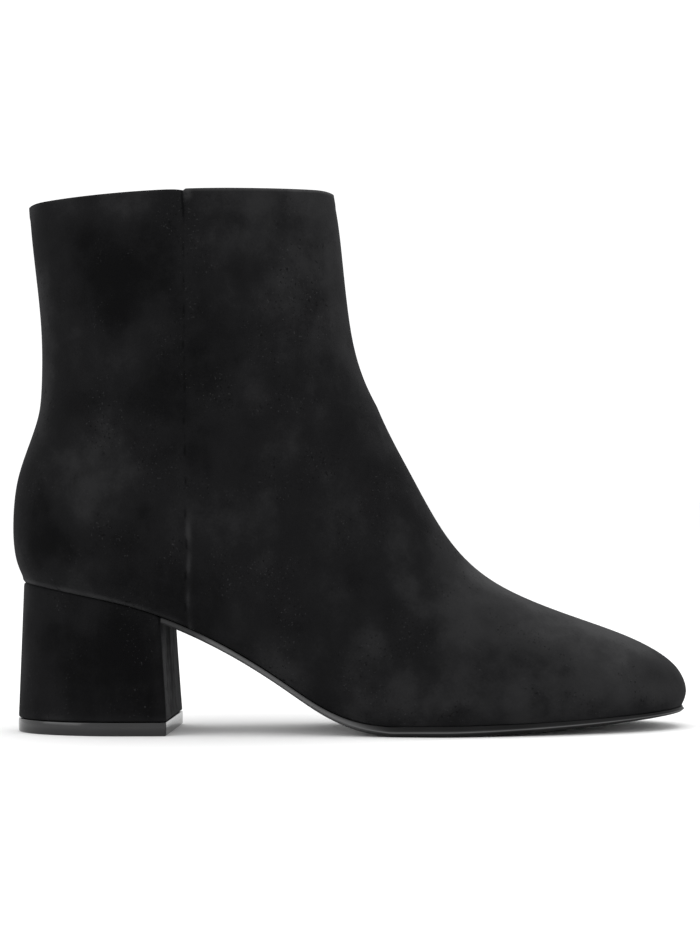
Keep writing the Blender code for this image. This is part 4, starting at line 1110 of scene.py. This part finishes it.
def plated(name, colour, roughness):
    """Dark plated zinc: a cloudy polish, fine brushing across it, and paler worn places."""
    made, shader, places = start_finish(name, colour, Metallic=1.0, Roughness=roughness)
    cloud = places.noise(260.0, 3.0)
    brushing = places.scaled((180.0, 180.0, 5200.0)).noise(1.0, 2.0)
    wear_and_painted_light = places.noise(420.0, 2.0).span(0.52, 0.72)
    light = tuple(min(1.0, c * 1.9) for c in colour) + (1.0,)
    feed(
        shader,
        Base_Color=(wear_and_painted_light * 0.5 + cloud * 0.3).mix((*colour, 1.0), light),
        Roughness=roughness - 0.05 + cloud * 0.14 + brushing * 0.05,
        Normal=brushing.bump(0.08, 0.00003),
    )
    return made


gunmetal = plated("dark plating", (0.13, 0.13, 0.135), 0.27)
slider_top = COLLAR_AT_ZIP - SLIDER_DROP + 0.5 * SLIDER_LENGTH + 2 * FIT_GAP
top_stop_offset = SLIDER_NECK / 2.0 + 2 * FIT_GAP + TOP_STOP_HALF[0]
lower = level_at(SEAM_X, np.array([ZIP_BOTTOM_HEIGHT + STOP_CLEAR + STOP_LENGTH / 2.0]))
upper_stop = level_at(SEAM_X, np.array([(slider_top + COLLAR_AT_ZIP - STOP_CLEAR) / 2.0]))
for name, levels, offset, half in (
    ("zip_bottom_stop", lower, 0.0, (0.0033, STOP_LENGTH / 2.0, 0.0009)),
    ("zip_top_stop_front", upper_stop, top_stop_offset, TOP_STOP_HALF),
    ("zip_top_stop_rear", upper_stop, -top_stop_offset, TOP_STOP_HALF),
):
    clip = set_beads(f"clip_{name[4:]}", bead(half, 0.35, 12, 20), levels, offset, STOP_DEPTH)
    clip.data.materials.append(gunmetal)
    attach(clip, "boot")
    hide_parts(name)

# Slider
# Die-cast and plated: two shaped plates on a neck, with flanges that gather the coil, and a bridge
# on the front plate that holds the pull. It stays near the top of the closed zip.

SLIDER_WIDTH, SLIDER_PLATE = 0.0090, 0.0010
TAB_THICKNESS = 0.0012
PLATE_BACK = FIT_GAP
PLATE_FRONT = PLATE_BACK + SLIDER_PLATE
PIVOT_OUT = PLATE_FRONT + FIT_GAP + TAB_THICKNESS * math.sqrt(0.5)
BRIDGE_INNER = PIVOT_OUT + TAB_THICKNESS * math.sqrt(0.5) + FIT_GAP
BRIDGE_REACH = TAB_THICKNESS * math.sqrt(0.5) + 2.0 * FIT_GAP
BRIDGE_BAR, BRIDGE_WIDTH, BRIDGE_ROOT = 0.0009, 0.0018, 0.0003
FLANGE_INSET = 0.0002
REAR_FRONT = -(TAPE_DEPTH + TAPE_THICKNESS + 2.0 * FIT_GAP)

slider_level = float(level_at(SEAM_X, COLLAR_AT_ZIP - SLIDER_DROP))
seat, _, _, slider_out = wall_frame(slider_level, SEAM_X, 0.0)
above, _, _, _ = wall_frame(slider_level + 0.02, SEAM_X, 0.0)
slider_up = (above - seat) / np.linalg.norm(above - seat)
slider_across = np.cross(slider_up, slider_out)
slider_across /= np.linalg.norm(slider_across)
slider_up = np.cross(slider_out, slider_across)
slider_axes = np.stack([slider_across, slider_up, slider_out])


def plate(half_length, top_half, bottom_half, back, front, dome):
    """Shaped plate: a rounded oblong section carried along its length, its half width going from
    the bottom's to the top's by a smooth step, with round ends and a domed front."""
    t = np.sin(np.linspace(-0.5, 0.5, 30) * math.pi)[:, None]
    v = np.linspace(0.0, 2.0 * math.pi, 28, endpoint=False)[None, :]
    end = (1.0 - np.abs(t) ** 7) ** (1.0 / 4.0)
    half = (bottom_half + (top_half - bottom_half) * ease((t + 0.5) / 1.1)) * end
    flat, tall = squarish(np.cos(v), 0.35), squarish(np.sin(v), 0.35)
    middle, half_depth = (front + back) / 2.0, (front - back) / 2.0
    out = middle + tall * half_depth * np.clip(end * 1.4, 0.0, 1.0) - dome * flat**2 * (tall > 0.0) * end
    return np.stack([flat * half, t * half_length + 0.0 * v, out], axis=-1)


def upright(centre, half, power=0.3):
    """Rounded block of the slider with its centre and half sizes (across, up, out)."""
    return bead(half, power, 14, 28) + np.array(centre)


arch = np.linspace(0.0, math.pi, 30)[:, None]
loop = np.linspace(0.0, 2.0 * math.pi, 28, endpoint=False)[None, :]
reach = BRIDGE_REACH + BRIDGE_BAR / 2.0
arch_up = reach * squarish(np.cos(arch), 0.55)
bridge_foot = PLATE_FRONT - BRIDGE_ROOT
arch_out = bridge_foot + (BRIDGE_INNER + BRIDGE_BAR / 2.0 - bridge_foot) * np.sin(arch) ** 0.55
arch_way = np.stack([np.gradient(arch_up[:, 0]), np.gradient(arch_out[:, 0])], axis=1)
arch_way /= np.linalg.norm(arch_way, axis=1, keepdims=True)
bar_side = squarish(np.cos(loop), 0.5) * BRIDGE_WIDTH / 2.0
bar_deep = squarish(np.sin(loop), 0.5) * BRIDGE_BAR / 2.0
bridge = np.stack([
    bar_side + 0.0 * arch_up,
    arch_up + bar_deep * -arch_way[:, 1:2],
    arch_out + bar_deep * arch_way[:, 0:1],
], axis=-1)
flange = (SLIDER_WIDTH - 0.0060) / 2.0 - FIT_GAP
slider_parts = np.stack([
    plate(SLIDER_LENGTH / 2.0, SLIDER_WIDTH / 2.0, SLIDER_WIDTH * 0.40, PLATE_BACK, PLATE_FRONT, 0.00022),
    plate(
        SLIDER_LENGTH * 0.48, SLIDER_WIDTH * 0.40, SLIDER_WIDTH * 0.36,
        REAR_FRONT - SLIDER_PLATE, REAR_FRONT, 0.0,
    ),
])
flange_place = (SLIDER_WIDTH - flange) / 2.0 - FLANGE_INSET
flange_half = (flange / 2.0, 0.0040, 0.00115)
neck_place = (0.0, SLIDER_LENGTH * 0.34, (PLATE_BACK + REAR_FRONT) / 2.0)
neck_half = (SLIDER_NECK / 2.0, SLIDER_LENGTH * 0.11, (PLATE_BACK - REAR_FRONT) / 2.0 + 0.0002)
blocks = np.stack([
    upright((-flange_place, 0.0005, -0.00055), flange_half),
    upright((flange_place, 0.0005, -0.00055), flange_half),
    upright(neck_place, neck_half),
])
slider_shapes = {"slider_plates": slider_parts, "slider_walls": blocks, "slider_bridge": bridge[None]}
for name, shape in slider_shapes.items():
    piece = build_mesh(name, seat + (shape[..., None] * slider_axes).sum(axis=-2), wrap=True, sharp=70.0)
    piece.data.materials.append(gunmetal)
    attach(piece, "boot")
    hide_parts("zip_slider")

# Pull tab
# Stamped and plated pull with a window at its root and a long hole further down. The window hangs
# on the slider's bridge, so the pull swings outwards and up.

TAB_LENGTH, TAB_WIDTH, TAB_ARM = 0.0240, 0.0064, 0.0017
TAB_EDGE = 0.00022
OUTLINE_POINTS = 64


def oblong(centre, half_width, half_length, power):
    """Closed outline in the tab's plane: a superellipse of a given squareness."""
    v = np.linspace(0.0, 2.0 * math.pi, OUTLINE_POINTS, endpoint=False)
    x = squarish(np.cos(v), 2.0 / power) * half_width
    y = squarish(np.sin(v), 2.0 / power) * half_length
    return np.column_stack([x, y + centre, np.zeros(OUTLINE_POINTS)])


tab_reach = math.hypot(BRIDGE_REACH + BRIDGE_BAR, BRIDGE_INNER + BRIDGE_BAR - PIVOT_OUT) + 2.0 * FIT_GAP
tab_bar = TAB_THICKNESS / 2.0
window_half = TAB_WIDTH / 2.0 - TAB_ARM + TAB_EDGE
tab_curve = bpy.data.curves.new("pull_tab_outline", "CURVE")
tab_curve.dimensions = "2D"
tab_curve.fill_mode = "BOTH"
tab_curve.extrude = TAB_THICKNESS / 2.0 - TAB_EDGE
tab_curve.bevel_depth = TAB_EDGE
tab_curve.bevel_resolution = 2
for outline in (
    oblong(tab_bar - TAB_LENGTH / 2.0, TAB_WIDTH / 2.0 - TAB_EDGE, TAB_LENGTH / 2.0 - TAB_EDGE, 5.0),
    oblong(-(tab_reach + tab_bar) / 2.0, window_half, (tab_reach - tab_bar) / 2.0 + TAB_EDGE, 6.0),
    oblong(-TAB_LENGTH * 0.70, TAB_WIDTH * 0.23 + TAB_EDGE, TAB_LENGTH * 0.17 + TAB_EDGE, 2.6),
):
    spline = tab_curve.splines.new("POLY")
    spline.points.add(len(outline) - 1)
    spline.points.foreach_set("co", np.column_stack([outline, np.ones(len(outline))]).ravel())
    spline.use_cyclic_u = True
holder = bpy.data.objects.new("pull_tab_outline", tab_curve)
bpy.context.scene.collection.objects.link(holder)
bpy.context.view_layer.update()
tab_mesh = bpy.data.meshes.new_from_object(holder.evaluated_get(bpy.context.evaluated_depsgraph_get()))
bpy.data.objects.remove(holder)
pivot = seat + slider_out * PIVOT_OUT
tab_mesh.transform(Matrix.Translation(Vector(pivot)) @ Matrix.Rotation(math.pi / 2.0, 4, "X"))
seal_mesh(tab_mesh, 50.0)
tab = bpy.data.objects.new("pull", tab_mesh)
bpy.context.scene.collection.objects.link(tab)
tab.data.materials.clear()
tab.data.materials.append(gunmetal)
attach(tab, "pull_tab")
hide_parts("zip_pull_tab")

# Zip stitching
# One row of thread on each side of the slot and across its lower end, sewn through the suede and the tape
# behind it, each stitch sunk a little into the pile.

STITCH_PITCH = 0.0031
STITCH_SINK = 0.00008
stitch_shape = bead((0.00122, 0.00021, 0.00020), 0.8, 8, 8)
side_heights = np.arange(ZIP_BOTTOM_HEIGHT + 0.0006, COLLAR_AT_ZIP - 0.0022, STITCH_PITCH)
sewing, sewing_shader, sewing_places = start_finish(
    "sewing thread", (0.020, 0.020, 0.021), Roughness=0.6, Specular_IOR_Level=0.4, Sheen_Weight=0.15
)
twist = sewing_places.scaled((2600.0, 900.0, 2600.0)).noise(1.0, 1.0)
feed(
    sewing_shader,
    Base_Color=twist.mix((0.010, 0.010, 0.011, 1.0), (0.036, 0.036, 0.038, 1.0)),
    Roughness=0.5 + twist * 0.2,
    Normal=twist.bump(0.4, 0.00008),
)


def sew_row(name, levels, x, upwards):
    """Row of stitches on the inner wall, one at each level and x, lying along or across its rise."""
    origin, across, rising, out = wall_frame(levels, x, np.full(levels.shape, STITCH_SINK))
    axes = (rising, across, out) if upwards else (across, rising, out)
    row = lay_copies(name, stitch_shape, origin, axes)
    row.data.materials.append(sewing)
    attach(row, "boot")


for name, way in TAPE_SIDES:
    beside_slot = SEAM_X + way * (ZIP_SLOT / 2.0 + STITCH_AWAY)
    sew_row(f"stitches_{name}", level_at(beside_slot, side_heights), beside_slot, True)
end_x = SEAM_X + np.linspace(-1.0, 1.0, 5) * (ZIP_SLOT / 2.0 + STITCH_AWAY - 0.0014)
levels = np.array([float(level_at(v, ZIP_BOTTOM_HEIGHT - STITCH_AWAY)) for v in end_x])
sew_row("stitches_end", levels, end_x, False)
